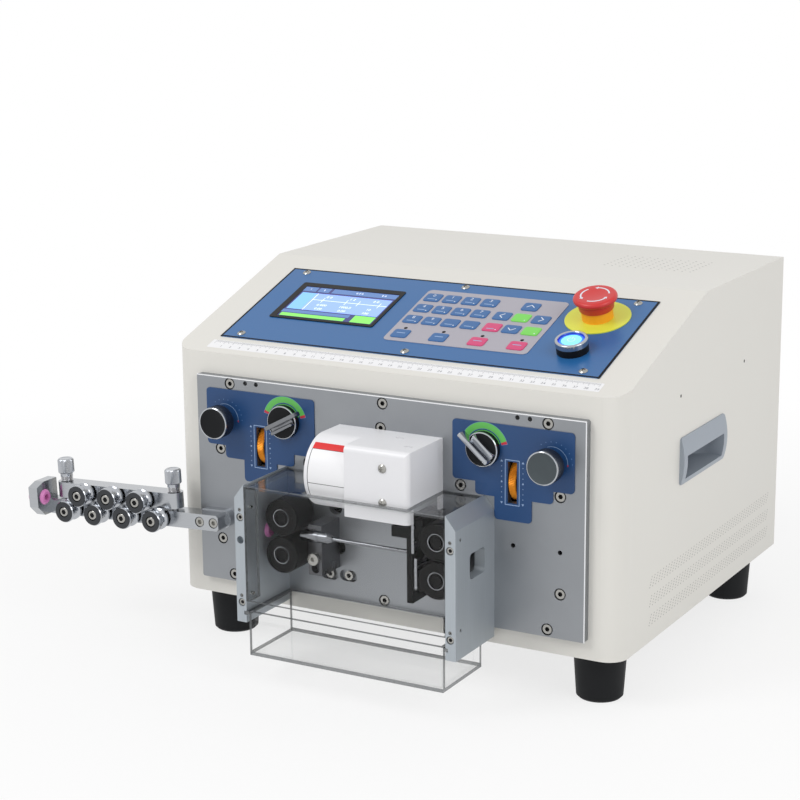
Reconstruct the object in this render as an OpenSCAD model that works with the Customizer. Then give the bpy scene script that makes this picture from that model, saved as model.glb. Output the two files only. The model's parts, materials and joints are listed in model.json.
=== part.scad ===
// Bench-top wire cutting and stripping machine.
// X runs along the wire to the right, Y from front to back, Z up. Millimetres.
// Every piece is drawn from the middle of the front of the housing at floor level; place() then
// moves the whole machine so that the origin is the middle of its footprint.

/* [Housing] */
// Width of the housing
body_w = 455; // [430:1:500]
// Depth of the housing
body_d = 389; // [360:1:440]
// Height of the housing without its feet
body_h = 294; // [275:1:330]
// Height of the upright front face
front_h = 233.5; // [225:0.5:245]
// How far back the sloped top runs
slope_run = 185; // [170:1:210]
// Radius of the upright front corners
corner_r = 19; // [10:0.5:26]
// Thickness of the sheet metal
sheet_t = 2; // [1.2:0.1:3]
// How deep the rear panel sits inside the housing
rear_inset = 6; // [4:0.5:10]

/* [Feet] */
// Height of a rubber foot
foot_h = 46.7; // [30:0.1:60]
// Diameter of a foot at the housing
foot_top_d = 48; // [40:0.5:54]
// Diameter of a foot at the floor
foot_base_d = 42; // [34:0.5:48]
// Foot axis from the side of the housing
foot_in_x = 35.2; // [30:0.1:50]
// Foot axis from the front and rear of the housing
foot_in_y = 39; // [30:0.1:60]

/* [Front plate] */
// Plate edge from the side of the housing
plate_in_x = 29.8; // [26:0.1:34]
// Plate edge above the bottom of the housing
plate_in_bottom = 17.1; // [14:0.1:22]
// Plate edge below the top of the front face
plate_in_top = 20; // [16:0.1:24]
// Thickness of the front plate
plate_t = 6.8; // [6:0.1:10]
// Overlap of the plate on the housing
plate_lap = 12; // [10:0.5:16]
// Head diameter of a socket screw
screw_d = 8.5; // [7:0.1:10]
// Head height of a socket screw
screw_h = 4.6; // [3:0.1:5]
// Diameter of the recess round a socket screw
recess_d = 11; // [10.2:0.1:13]
// Diameter of the accessory threads in the plate
thread_d = 4.2; // [3:0.1:5]
// Distance between the two accessory threads of a pair
thread_pitch = 44.7; // [40:0.1:50]

/* [Dials] */
// Thickness of a dial plate
dial_t = 1; // [0.6:0.1:2]
// Lift lever axis from the middle
lever_x = 101.5; // [99:0.1:104]
// Lift lever axis below the top of the plate
lever_drop = 34.7; // [32:0.1:38]
// Diameter of the lever disc
lever_d = 31; // [26:0.5:34]
// Resting angle of the front lever above level
front_lever_a = 28; // [10:1:45]
// Resting angle of the rear lever above level
rear_lever_a = 41; // [10:1:45]
// Pressure knob axis from the middle
knob_x = 166.5; // [163:0.1:169]
// Pressure knob axis below the top of the plate
knob_drop = 39.7; // [36:0.1:42]
// Diameter of a pressure knob
knob_d = 30; // [26:0.5:32]
// Length of a pressure knob
knob_l = 14; // [10:0.5:18]
// Thumbwheel slot from the middle
wheel_x = 128.5; // [127:0.1:130]
// Middle of the thumbwheel slot below the top of the plate
wheel_drop = 62.2; // [60:0.1:64]
// Diameter of a thumbwheel
wheel_d = 40; // [37:0.5:42]
// Width of a thumbwheel
wheel_w = 7; // [5:0.1:8]

/* [Wire path] */
// Wire axis above the bottom of the plate
wire_up = 68.5; // [66:0.1:71]
// Wire axis in front of the plate
wire_out = 32.2; // [31:0.1:34]
// Feed roller pair from the middle
feed_x = 78.5; // [77:0.1:80]
// Diameter of a feed roller
roller_d = 34; // [30:0.2:35]
// Width of a feed roller
roller_w = 30; // [24:0.5:32]
// Gap between a closed pair of feed rollers
roller_gap = 0.6; // [0.4:0.1:2]
// Diameter of a feed roller shaft
shaft_d = 10; // [8:0.1:11]
// Lift of the upper feed rollers
lift = 6; // [4:0.5:7]
// Diameter of the guide nozzle
nozzle_d = 10.6; // [9:0.1:12]
// Diameter of the guide tube
tube_d = 3.4; // [3:0.1:5]
// Bore of the guide tube
tube_bore = 2; // [1:0.1:2.6]

/* [Cutter] */
// Cutting plane from the middle
cutter_x = 54; // [53:0.1:55]
// Stroke of each blade
stroke = 7; // [5:0.5:8]
// Thickness of a blade
blade_t = 2.5; // [1.5:0.1:3]
// Width of a blade
blade_w = 18; // [14:0.5:22]
// Width of the slide rail
rail_w = 18; // [14:0.5:20]
// Height of a blade carriage
carriage_h = 20; // [18:0.5:22]
// Diameter of the cutter lead screw
lead_d = 8; // [6:0.1:9]

/* [Wire box] */
// Half the clear width between the brackets
box_half = 101; // [100:0.1:102]
// Thickness of a side bracket
bracket_t = 10; // [8:0.1:12]
// Depth of the brackets in front of the plate
box_depth = 72.2; // [70:0.1:80]
// Bottom of the brackets below the bottom of the plate
bracket_down = 8.3; // [6:0.1:9]
// Height of the brackets
bracket_h = 128; // [124:0.5:134]
// Height of the chamfer on the outer top edge
bracket_cut = 12.5; // [8:0.5:16]
// Thickness of the acrylic sheets
acrylic_t = 3; // [2:0.1:4]
// Depth of the scrap tray's walls
tray_h = 41; // [36:0.5:46]
// Wall of the scrap tray
tray_wall = 3.5; // [2.5:0.1:4.5]

/* [Blade guard] */
// Bottom of the guard above the wire axis
guard_up = 31.2; // [30:0.1:34]
// Radius of the rounded left half
guard_r = 33; // [31:0.5:34]
// Width of the rounded left half
guard_left_w = 41; // [36:0.5:44]
// Width of the square right half
guard_right_w = 63.5; // [62:0.5:66]
// Wall of the guard
guard_t = 2.5; // [2:0.1:3.5]

/* [Control panel] */
// Panel edge from the side of the housing
panel_in_x = 34.4; // [30:0.1:40]
// Panel edge above the front lip, along the slope
panel_in_low = 28.4; // [26:0.1:34]
// Panel edge below the top bend, along the slope
panel_in_high = 27.4; // [22:0.1:30]
// Thickness of the panel
panel_t = 0.8; // [0.5:0.1:1.5]
// Width of the display frame
display_w = 112.5; // [108:0.5:120]
// Height of the display frame
display_h = 69.4; // [66:0.1:76]
// Width of the keypad
keypad_w = 145; // [140:0.5:150]
// Height of the keypad
keypad_h = 96.6; // [90:0.1:100]
// Diameter of the emergency-stop legend plate
legend_d = 60; // [54:0.5:64]
// Diameter of the emergency-stop head
head_d = 40; // [38:0.5:44]
// Travel of the emergency-stop head
stop_travel = 4; // [3:0.5:5]
// Diameter of the power button's bezel
bezel_d = 29.4; // [28.4:0.1:32]
// Travel of the power button
button_travel = 2; // [1.5:0.1:2.5]

/* [Straightener] */
// End of the arm from the middle of the plate
arm_x = 163; // [158:0.5:166]
// Wire line at the end of the arm above the wire axis
arm_rise = 1.9; // [1:0.1:5]
// Droop of the arm
arm_tilt = 2.6; // [0:0.1:3]
// Diameter of a straightener roller
st_d = 21; // [19:0.2:22]
// Length of a straightener roller
st_l = 16; // [14:0.5:18]
// Distance between neighbouring rollers of a row
st_pitch = 34; // [33:0.2:36]
// Height between the two rows of rollers
st_rows = 16.8; // [16.2:0.1:18]
// Height of the two bars
bar_h = 15; // [13:0.2:15.2]
// Depth of the two bars
bar_d = 17; // [15:0.5:18]
// Diameter of a thumb screw's head
thumb_d = 15.5; // [13:0.5:17]
// Length of a thumb screw's head
thumb_l = 14.4; // [12:0.1:18]

/* [Side handles] */
// Middle of a handle from the front
handle_y = 180.3; // [160:0.5:200]
// Middle of a handle above the bottom of the housing
handle_up = 149.3; // [120:0.5:170]
// Width of a handle
handle_w = 106.5; // [95:0.5:120]
// Height of a handle
handle_h = 43.5; // [40:0.5:50]
// Depth of the finger cup
handle_deep = 30; // [24:0.5:34]
// How far a handle swells out of the side
handle_bulge = 4.7; // [3:0.1:6]

/* [Inside] */
// Width of the power supply
supply_w = 198; // [180:1:205]
// Depth of the power supply
supply_d = 98; // [90:1:110]
// Height of the power supply
supply_h = 42; // [36:1:50]
// Width of the control board
board_w = 140; // [120:1:150]
// Depth of the control board
board_d = 100; // [90:1:110]

/* [Hidden] */
$fn = 48;

// Clearances: a turning fit, and pieces that pass each other
fit = 0.05;
gap = 0.3;
eps = 1;

// Housing
side_x = body_w / 2;
floor_z = foot_h;
lip_z = foot_h + front_h;
top_z = foot_h + body_h;
slope_a = atan2(body_h - front_h, slope_run);
slope_l = slope_run / cos(slope_a);
rear_y = body_d - rear_inset;

// Front plate
plate_w = body_w - 2 * plate_in_x;
plate_z0 = floor_z + plate_in_bottom;
plate_z1 = lip_z - plate_in_top;
plate_y = -plate_t;
dial_y = plate_y - dial_t;
lever_z = plate_z1 - lever_drop;
knob_z = plate_z1 - knob_drop;
wheel_z = plate_z1 - wheel_drop;
thread_z = plate_z0 + 77.8;
thread_x = 129;
edge_screws = [[-161.5, plate_z1 - 6.3], [0, plate_z1 - 6.8], [161.5, plate_z1 - 6.3],
               [-162, plate_z0 + 6.7], [0, plate_z0 + 6.7], [162, plate_z0 + 6.7]];
wire_z = plate_z0 + wire_up;
wire_y = plate_y - wire_out;
pillar_at = concat([[-2, plate_z1 - 29.3]], [for (m = [-1, 1]) each
    [[m * 174, plate_z0 + 40.4], [m * 173.5, plate_z1 - 69], [m * 77.8, wire_z + 56.8]]]);
sight_holes = [[-49.8, wire_z + 19], [-47, wire_z - 18.2]];
oval_screws = [[-57, plate_z0 + 23.4], [-37.3, plate_z0 + 24.3]];
top_threads = [for (m = [-1, 1]) each [[m * 144.5, plate_z1 - 4.2], [m * 132.7, plate_z1 - 4.2]]];
side_threads = [[thread_x, thread_z], [thread_x + thread_pitch, thread_z]];

// Wire path
roller_off = (roller_d + roller_gap) / 2;
bearing_y = 52;
bearing_t = 8;
block_h = 28;
block_w = 26;
block_d = 16;
screw_y = 24;
slot_h = wheel_d - 3;
wheel_y = plate_y - 2.2 + wheel_d / 2;
yoke_t = 5;

// Wire box
box_y = plate_y - box_depth;
bracket_z0 = plate_z0 - bracket_down;
bracket_z1 = bracket_z0 + bracket_h;
cover_top = bracket_z1 - 1.5;
cover_low = bracket_z0 + 20;
tray_top = bracket_z0 + 10.5;
tray_half = box_half - 2.5;
rim_t = 3;
rim_in = 2.2;

// Blade guard
guard_mid = -3;
guard_x0 = guard_mid - guard_left_w;
guard_x1 = guard_mid + guard_right_w;
guard_z0 = wire_z + guard_up;
guard_z1 = guard_z0 + 2 * guard_r;
guard_step = 2.4;
guard_cy = plate_y - 29.2;
guard_y = guard_cy - guard_r;

// Cutter
carriage_y0 = wire_y - 6;
rail_y = plate_y - 9;
rail_z0 = wire_z - 44.7;
rail_z1 = guard_z0 + guard_step - gap;
open = stroke + 1;
upper_z = wire_z + 13 + carriage_h / 2;
lower_z = wire_z - 13 - carriage_h / 2;
tongue_w = 6;
tongue_h = 10;
slide_half = upper_z - wire_z + tongue_h / 2 + eps;
nut_h = 14;
lead_z0 = wire_z - 48;
lead_z1 = wire_z + 46;

// Control panel
panel_w = body_w - 2 * panel_in_x;
panel_l = slope_l - panel_in_low - panel_in_high;
panel_s = panel_in_low + panel_l / 2;
display_at = [-109, panel_in_low + 77.4];
keypad_at = [40.3, panel_in_low + 72.5];
stop_at = [149, panel_in_low + 99.6];
power_at = [150.9, panel_in_low + 39.8];
panel_screws = [for (x = [-panel_w / 2 + 18.4, 0, panel_w / 2 - 18.4], s = [8.2, panel_l - 7.2])
    [x, panel_in_low + s]];
legend_t = 0.8;
collar_d = 28.6;
collar_h = 10.4;
stem_d = 14;
head_h = 13.5;
head_low = panel_t + legend_t + collar_h - 1;
cup_deep = 1 + stop_travel + gap;
lens_d = bezel_d - 6.2;
button_stem = 16;
hole_d = 22.5;

// Straightener, in its own frame: the end of the arm is x = 0 and the wire runs at z = 0
arm_z = wire_z + arm_rise;
bar_y1 = wire_y + st_l / 2 + gap + bar_d;
bar_y0 = bar_y1 - bar_d;
row_z = st_rows / 2;
lower_x = 65.3;
upper_x = lower_x + st_pitch / 2;
press_x0 = upper_x - 28.8;
press_x1 = upper_x + 2 * st_pitch + 29.6;
block_x0 = lower_x + 3 * st_pitch + 27.9;
block_t = 10.4;
block_y0 = wire_y - 10.8;
block_z0 = -15.4;
block_z1 = 17.4;
block_low = [9.4, 9.4];
block_high = [10.5, 3.9];
eyelet_up = 2.3;
stud_d = 6;
head_r = 4.5;
head_seat = 3;
stem_w = 12;
stem_l = 7.5;
groove_deep = 2.5;
groove_r = 4.8;
eyelet_r = 7.5;
eyelet_flange = 5;

// Footprint of the whole machine
handle_rim = 1.2;
min_x = -arm_x - (block_x0 + block_t + eyelet_flange) * cos(arm_tilt) - (eyelet_up + eyelet_r - 2) * sin(arm_tilt);
max_x = side_x + handle_bulge;
shift_x = (min_x + max_x) / 2;
shift_y = (box_y + body_d) / 2;

module place() { translate([-shift_x, -shift_y, 0]) children(); }
// Stands its children, drawn as x and z, up as a slab from y0 to y1
module slab_y(y0, y1) { translate([0, y1, 0]) rotate([90, 0, 0]) linear_extrude(y1 - y0) children(); }
// Stands its children, drawn as y and z, up as a slab from x0 to x1
module slab_x(x0, x1) { translate([x0, 0, 0]) rotate([90, 0, 90]) linear_extrude(x1 - x0) children(); }
module rod_y(x, z, y0, y1, d) { translate([x, y1, z]) rotate([90, 0, 0]) cylinder(d = d, h = y1 - y0); }
module rod_x(y, z, x0, x1, d) { translate([x0, y, z]) rotate([0, 90, 0]) cylinder(d = d, h = x1 - x0); }
// Turns a profile, drawn as radius and distance to the front, round an axis along Y
module turned_y(x, y, z) { translate([x, y, z]) rotate([90, 0, 0]) rotate_extrude() children(); }
// Moves its children onto the slope: x across, s up the slope, h away from it
module on_slope(at, h = 0) {
    translate([at[0], at[1] * cos(slope_a) - h * sin(slope_a), lip_z + at[1] * sin(slope_a) + h * cos(slope_a)])
        rotate([slope_a, 0, 0]) children();
}
module on_arm() { translate([-arm_x, 0, arm_z]) rotate([0, -arm_tilt, 0]) mirror([1, 0, 0]) children(); }
// Rectangle with round corners, from its corner or round its middle
module rounded(w, h, r) {
    translate([r, 0]) square([w - 2 * r, h]);
    translate([0, r]) square([w, h - 2 * r]);
    for (x = [r, w - r], y = [r, h - r]) translate([x, y]) circle(r);
}
module rounded_mid(w, h, r) { translate([-w / 2, -h / 2]) rounded(w, h, r); }

// Housing: a bent sheet, open below and behind
module body_side(t) {
    lip = lip_z + t * tan(slope_a) - t / cos(slope_a);
    bend = (top_z - t - lip_z + t / cos(slope_a)) / tan(slope_a);
    low = t > 0 ? floor_z - eps : floor_z;
    back = t > 0 ? body_d + eps : body_d;
    polygon([[t, low], [t, lip], [bend, top_z - t], [back, top_z - t], [back, low]]);
}
module body_plan(t) {
    r = corner_r - t;
    w = body_w - 2 * t;
    d = t > 0 ? body_d - t + eps : body_d;
    translate([-w / 2, t + r]) square([w, d - r]);
    translate([-w / 2 + r, t]) square([w - 2 * r, d]);
    for (m = [-1, 1]) translate([m * (w / 2 - r), t + r]) circle(r);
}
module body_block(t) {
    intersection() {
        slab_x(-side_x - eps, side_x + eps) body_side(t);
        linear_extrude(top_z + eps) body_plan(t);
    }
}
handle_z = floor_z + handle_up;
handle_wall = 2.2;
cup_w = handle_w - 12;
cup_h = handle_h - 5;
cup_z0 = handle_z - cup_h / 2;
grip_z = handle_z + 4.5;
scoop_r = 20;
swell = handle_bulge - handle_rim;
swell_r = (handle_h * handle_h / 4 + swell * swell) / 2 / swell;
module housing() {
    color([0.85, 0.84, 0.82]) difference() {
        body_block(0);
        body_block(sheet_t);
        slab_y(-eps, sheet_t + eps) translate([-plate_w / 2 + plate_lap, plate_z0 + plate_lap])
            square([plate_w - 2 * plate_lap, plate_z1 - plate_z0 - 2 * plate_lap]);
        for (at = edge_screws) rod_y(at[0], at[1], -eps, sheet_t + eps, 5.4);
        slab_x(-side_x - eps, side_x + eps) translate([handle_y, handle_z])
            square([cup_w + 0.4, cup_h + 0.4], center = true);
        on_slope(display_at, -sheet_t - eps) linear_extrude(sheet_t + 2 * eps)
            rounded_mid(display_w - 8, display_h - 8, 2);
        for (at = [stop_at, power_at]) on_slope(at, -sheet_t - eps) cylinder(d = hole_d, h = sheet_t + 2 * eps);
        for (at = panel_screws) on_slope(at, -sheet_t - eps) cylinder(d = 3.2, h = sheet_t + 2 * eps);
        on_slope([keypad_at[0], keypad_at[1] + keypad_h / 2 - 6], -sheet_t - eps)
            linear_extrude(sheet_t + 2 * eps) square([30, 4], center = true);
    }
}

// Chassis: base and rear panel bent from one sheet
module chassis() {
    inner = side_x - sheet_t - 0.2;
    color([0.72, 0.72, 0.72]) difference() {
        union() {
            intersection() {
                translate([-inner, sheet_t + 0.2, floor_z]) cube([2 * inner, rear_y - sheet_t - 0.2, sheet_t]);
                linear_extrude(top_z) translate([0, 0.2]) body_plan(sheet_t);
            }
            translate([-inner, rear_y - sheet_t, floor_z])
                cube([2 * inner, sheet_t, top_z - sheet_t - 0.2 - floor_z]);
        }
        for (at = feet_at()) translate([at[0], at[1], floor_z - eps]) cylinder(d = 6.4, h = sheet_t + 2 * eps);
        slab_y(rear_y - sheet_t - eps, rear_y + eps) {
            translate([inlet_x, inlet_z]) square([28, 20.5], center = true);
            for (i = [0:9], j = [0:1]) translate([-54 + 12 * i, top_z - 90 - 42 * j]) rounded_mid(4, 32, 1.9);
        }
    }
}
inlet_x = 150;
inlet_z = floor_z + 60;
function feet_at() = [for (x = [-1, 1], y = [foot_in_y, body_d - foot_in_y]) [x * (side_x - foot_in_x), y]];
module rubber_feet() {
    color([0.1, 0.11, 0.12]) for (at = feet_at()) translate([at[0], at[1], 0]) rotate_extrude()
        polygon([[9, 0], [foot_base_d / 2 - 2, 0], [foot_base_d / 2, 2], [foot_top_d / 2, foot_h],
                 [0, foot_h], [0, 14], [9, 14]]);
}
module power_inlet() {
    color([0.12, 0.12, 0.13]) difference() {
        union() {
            slab_y(rear_y, rear_y + 3) translate([inlet_x, inlet_z]) rounded_mid(50, 28, 4);
            slab_y(rear_y - 24, rear_y) translate([inlet_x, inlet_z]) square([27.6, 20], center = true);
        }
        slab_y(rear_y - 18, rear_y + 3 + eps) translate([inlet_x, inlet_z]) rounded_mid(24, 16.5, 3);
    }
}

// Side handles: swelling pulls let into both sides, with a scooped cup that runs up behind the grip
module cup_plan(t) {
    translate([side_x - handle_deep + t, handle_y - cup_w / 2 + t])
        rounded(handle_deep + 2 * scoop_r, cup_w - 2 * t, scoop_r - t);
}
module cup_slice(t, x1, z0, z1) {
    translate([0, 0, z0]) linear_extrude(z1 - z0) intersection() {
        cup_plan(t);
        translate([0, handle_y - cup_w]) square([x1, 2 * cup_w]);
    }
}
module side_handle() {
    x1 = side_x + handle_bulge;
    color([0.62, 0.66, 0.7]) difference() {
        union() {
            intersection() {
                slab_x(side_x, x1) translate([handle_y, handle_z]) rounded_mid(handle_w, handle_h, 3);
                rod_y(x1 - swell_r, handle_z, handle_y - handle_w, handle_y + handle_w, 2 * swell_r);
            }
            cup_slice(0, side_x + handle_rim / 2, cup_z0, cup_z0 + cup_h);
        }
        cup_slice(handle_wall, x1 + eps, cup_z0 + handle_wall, grip_z);
        cup_slice(handle_wall, side_x - handle_wall, grip_z - eps, cup_z0 + cup_h - handle_wall);
    }
}
module side_handles() {
    side_handle();
    mirror([1, 0, 0]) side_handle();
}

// Front plate and what it carries
module front_plate() {
    color([0.68, 0.69, 0.71]) difference() {
        slab_y(plate_y, 0) translate([-plate_w / 2, plate_z0]) rounded(plate_w, plate_z1 - plate_z0, 2);
        for (at = concat(edge_screws, pillar_at)) {
            rod_y(at[0], at[1], plate_y - eps, plate_y + screw_h + 0.4, recess_d);
            rod_y(at[0], at[1], plate_y - eps, eps, 5.2);
        }
        for (at = concat(top_threads, side_threads)) rod_y(at[0], at[1], plate_y - eps, eps, thread_d);
        for (m = [-1, 1]) {
            rod_y(m * lever_x, lever_z, plate_y - eps, eps, lever_shaft_d + 2 * fit);
            rod_y(m * knob_x, knob_z, plate_y - eps, eps, knob_shaft_d + 2 * fit);
            rod_y(m * feed_x, wire_z - roller_off, plate_y - eps, eps, shaft_d + 2 * fit);
            slab_y(plate_y - eps, eps) {
                translate([m * wheel_x, wheel_z]) square([wheel_w + 2, slot_h], center = true);
                translate([m * feed_x, wire_z + roller_off + lift / 2])
                    rounded_mid(shaft_d + 1, shaft_d + 1 + lift, (shaft_d + 1) / 2 - 0.01);
            }
        }
        slab_y(plate_y - eps, eps) translate([cutter_x, wire_z])
            square([tongue_w + 2 * gap, 2 * slide_half], center = true);
        for (at = sight_holes) rod_y(at[0], at[1], plate_y - eps, eps, 14);
        for (at = oval_screws) {
            slab_y(plate_y - eps, plate_y + screw_h + 0.4) translate(at) rounded_mid(18, 10.6, 5.2);
            rod_y(at[0], at[1], plate_y - eps, eps, 5.2);
        }
    }
}
lever_shaft_d = 9;
knob_shaft_d = 8;

// Bearing plate: carried on pillars behind the front plate, with lugs for the thumbwheels and the lead screw
module yoke(x) {
    slab_x(x - yoke_t / 2, x + yoke_t / 2) {
        translate([wheel_y, wheel_z - 6]) square([bearing_y - wheel_y + eps, 12]);
        translate([wheel_y, wheel_z]) circle(6);
    }
}
module bearing_plate() {
    color([0.6, 0.61, 0.63]) difference() {
        union() {
            slab_y(bearing_y, bearing_y + bearing_t) translate([-plate_w / 2 + 8, plate_z0 + 8])
                square([plate_w - 16, plate_z1 - plate_z0 - 30]);
            for (at = pillar_at) rod_y(at[0], at[1], 0, bearing_y + eps, pillar_d);
            for (m = [-1, 1], k = [-1, 1]) yoke(m * wheel_x + k * (wheel_w / 2 + gap + yoke_t / 2));
            for (z = [lead_z0, lead_z1 - lug_t]) translate([cutter_x, screw_y, z]) {
                cylinder(d = 20, h = lug_t);
                translate([-10, 0, 0]) cube([20, bearing_y - screw_y + eps, lug_t]);
            }
        }
        for (at = pillar_at) rod_y(at[0], at[1], -eps, 12, screw_shank + 0.2);
        for (m = [-1, 1]) {
            rod_x(wheel_y, wheel_z, m * wheel_x - 15, m * wheel_x + 15, axle_d + 2 * fit);
            rod_y(m * feed_x, wire_z - roller_off, bearing_y - eps, bearing_y + bearing_t + eps, shaft_d + 2 * fit);
        }
        translate([cutter_x, screw_y, lead_z0 - eps]) cylinder(d = lead_d + 2 * fit, h = lead_z1 - lead_z0 + 2 * eps);
    }
}

// Dial plates: the stepped outline is three stacked rounded strips
module dial_outline() {
    strips = [[lever_x - 31, lever_z - 30.3, knob_x + 20.3, lever_z + 23],
              [wheel_x - 35.8, wheel_z - 14.3, wheel_x + 38.5, wheel_z + 17],
              [wheel_x - 17.2, wheel_z - 34.4, wheel_x + 18.3, wheel_z + 17]];
    for (b = strips) translate([b[0], b[1]]) rounded(b[2] - b[0], b[3] - b[1], 3.5);
}
module dial_plate() {
    color([0.15, 0.28, 0.47]) difference() {
        slab_y(dial_y, plate_y) dial_outline();
        rod_y(lever_x, lever_z, dial_y - eps, plate_y + eps, lever_shaft_d + 1);
        translate([0, dial_y - eps, 0]) cube([box_half + bracket_t + 0.1, dial_t + 2 * eps, bracket_z1 + 0.1]);
        rod_y(knob_x, knob_z, dial_y - eps, plate_y + eps, knob_shaft_d + 1);
        slab_y(dial_y - eps, plate_y + eps) translate([wheel_x, wheel_z])
            square([wheel_w + 2, slot_h], center = true);
    }
}
module dial_plates() {
    dial_plate();
    mirror([1, 0, 0]) dial_plate();
}
module pressure_knob(m) {
    back = dial_y - 7.2;
    color([0.1, 0.1, 0.11]) turned_y(m * knob_x, back, knob_z)
        polygon([[0, 0], [knob_d / 2 - 1.5, 0], [knob_d / 2, 1.5], [knob_d / 2, knob_l - 1.2],
                 [knob_d / 2 - 1.2, knob_l], [0, knob_l]]);
    color("silver") rod_y(m * knob_x, knob_z, back - eps, 22, knob_shaft_d);
}
module front_pressure_knob() { pressure_knob(-1); }
module rear_pressure_knob() { pressure_knob(1); }

// Lift lever: a disc with a tall ridge, longer on the side that points, and a low ridge beside it
module lift_lever(m, a) {
    back = dial_y - gap;
    disc_t = 6;
    color([0.1, 0.1, 0.11]) {
        rod_y(m * lever_x, lever_z, back - disc_t, back, lever_d);
        rod_y(m * lever_x, lever_z, back - eps, 16, lever_shaft_d);
    }
    color("silver") translate([m * lever_x, back - disc_t + eps, lever_z]) rotate([90, a, 0]) {
        translate([-22.5, -3]) linear_extrude(9 + eps) rounded(36, 4, 1);
        translate([-12.5, 4]) linear_extrude(5 + eps) rounded(25, 3, 1);
        translate([-12.5, 0]) linear_extrude(1.5 + eps) square([25, 5]);
    }
}
module front_lift_lever() { lift_lever(-1, 180 - front_lever_a); }
module rear_lift_lever() { lift_lever(1, rear_lever_a); }
module gap_wheel(m) {
    color([0.78, 0.5, 0.1]) {
        rod_x(wheel_y, wheel_z, m * wheel_x - wheel_w / 2, m * wheel_x + wheel_w / 2, wheel_d);
        rod_x(wheel_y, wheel_z, m * wheel_x - wheel_w / 2 - gap - yoke_t, m * wheel_x + wheel_w / 2 + gap + yoke_t, axle_d);
    }
}
module front_gap_wheel() { gap_wheel(-1); }
module rear_gap_wheel() { gap_wheel(1); }

// Feed rollers: the upper pair runs in lift blocks, the lower pair in the plates
module lift_block(m) {
    z = wire_z + roller_off;
    color([0.55, 0.56, 0.58]) difference() {
        translate([m * feed_x - block_w / 2, gap, z - block_h / 2]) cube([block_w, block_d, block_h]);
        rod_y(m * feed_x, z, 0, gap + block_d + eps, shaft_d + 2 * fit);
    }
}
module front_lift_block() { lift_block(-1); }
module rear_lift_block() { lift_block(1); }
module feed_roller(m, z, shaft_end) {
    r = roller_d / 2;
    color([0.11, 0.11, 0.11]) turned_y(m * feed_x, wire_y + roller_w / 2, z)
        polygon([[0, 0], [r - 1, 0], [r, 1], [r, roller_w - 1], [r - 1, roller_w], [9.5, roller_w],
                 [8.5, roller_w - 2.5], [5, roller_w - 2.5], [5, roller_w - 1], [0, roller_w - 1]]);
    color("silver") rod_y(m * feed_x, z, wire_y + roller_w / 2 - eps, shaft_end, shaft_d);
}
upper_end = gap + block_d;
lower_end = bearing_y + bearing_t - gap;
module front_upper_roller() { feed_roller(-1, wire_z + roller_off, upper_end); }
module front_lower_roller() { feed_roller(-1, wire_z - roller_off, lower_end); }
module rear_upper_roller() { feed_roller(1, wire_z + roller_off, upper_end); }
module rear_lower_roller() { feed_roller(1, wire_z - roller_off, lower_end); }

// Guide nozzle in its clamp
holder_x = -53;
holder_w = 14;
holder_y = wire_y + 1;
holder_z0 = wire_z - 37;
holder_z1 = wire_z + 10;
clamp_z = wire_z - 21;
clamp_d = 11;
module nozzle_holder() {
    slot_low = holder_z0 + 2;
    slot_high = clamp_z + 4;
    color([0.3, 0.31, 0.33]) difference() {
        translate([holder_x - holder_w / 2, holder_y, holder_z0])
            cube([holder_w, plate_y - holder_y, holder_z1 - holder_z0]);
        rod_x(wire_y, wire_z, holder_x - holder_w, holder_x + holder_w, nozzle_d);
        slab_y(holder_y - eps, holder_y + 7) translate([holder_x, (slot_low + slot_high) / 2])
            rounded_mid(8, slot_high - slot_low, 3.9);
        rod_y(holder_x, clamp_z, holder_y - eps, holder_y + 14, screw_shank + 0.2);
    }
}
// A turned barrel with a funnel at its mouth, a cone and a thin tube
module guide_nozzle() {
    r = nozzle_d / 2;
    mouth = -12.5;
    end = cutter_x - 8 - holder_x;
    color("silver") translate([holder_x, wire_y, wire_z]) rotate([0, 90, 0]) rotate_extrude()
        polygon([[r - 1, mouth], [r, mouth + 1], [r, 5.5], [r - 0.5, 5.5], [r - 0.5, 15], [tube_d / 2 + 1, 19.5],
                 [tube_d / 2, 19.5], [tube_d / 2, end], [tube_bore / 2, end], [tube_bore / 2, mouth + 5], [3.4, mouth]]);
}

// Cutter: two carriages beside a column, drawn together by a lead screw with a right and a left thread
module cutter_rail() {
    x0 = cutter_x - rail_w / 2;
    x1 = cutter_x - tongue_w / 2 - gap;
    color([0.13, 0.13, 0.14]) difference() {
        union() {
            translate([x0, rail_y, rail_z0]) cube([rail_w, plate_y - rail_y, rail_z1 - rail_z0]);
            translate([x0, carriage_y0, rail_z0]) cube([x1 - x0, rail_y - carriage_y0 + eps, rail_z1 - rail_z0]);
            translate([x0 - 15, carriage_y0, wire_z + 14]) cube([15 + eps, 16, 9.6]);
        }
        translate([x1, rail_y - eps, wire_z - slide_half])
            cube([tongue_w + 2 * gap, plate_y - rail_y + 2 * eps, 2 * slide_half]);
        rod_x(wire_y, wire_z, x0 - eps, cutter_x, tube_d + 1);
    }
}
module cutter_screw() {
    color("silver") translate([cutter_x, screw_y, lead_z0]) cylinder(d = lead_d, h = lead_z1 - lead_z0);
}
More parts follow.
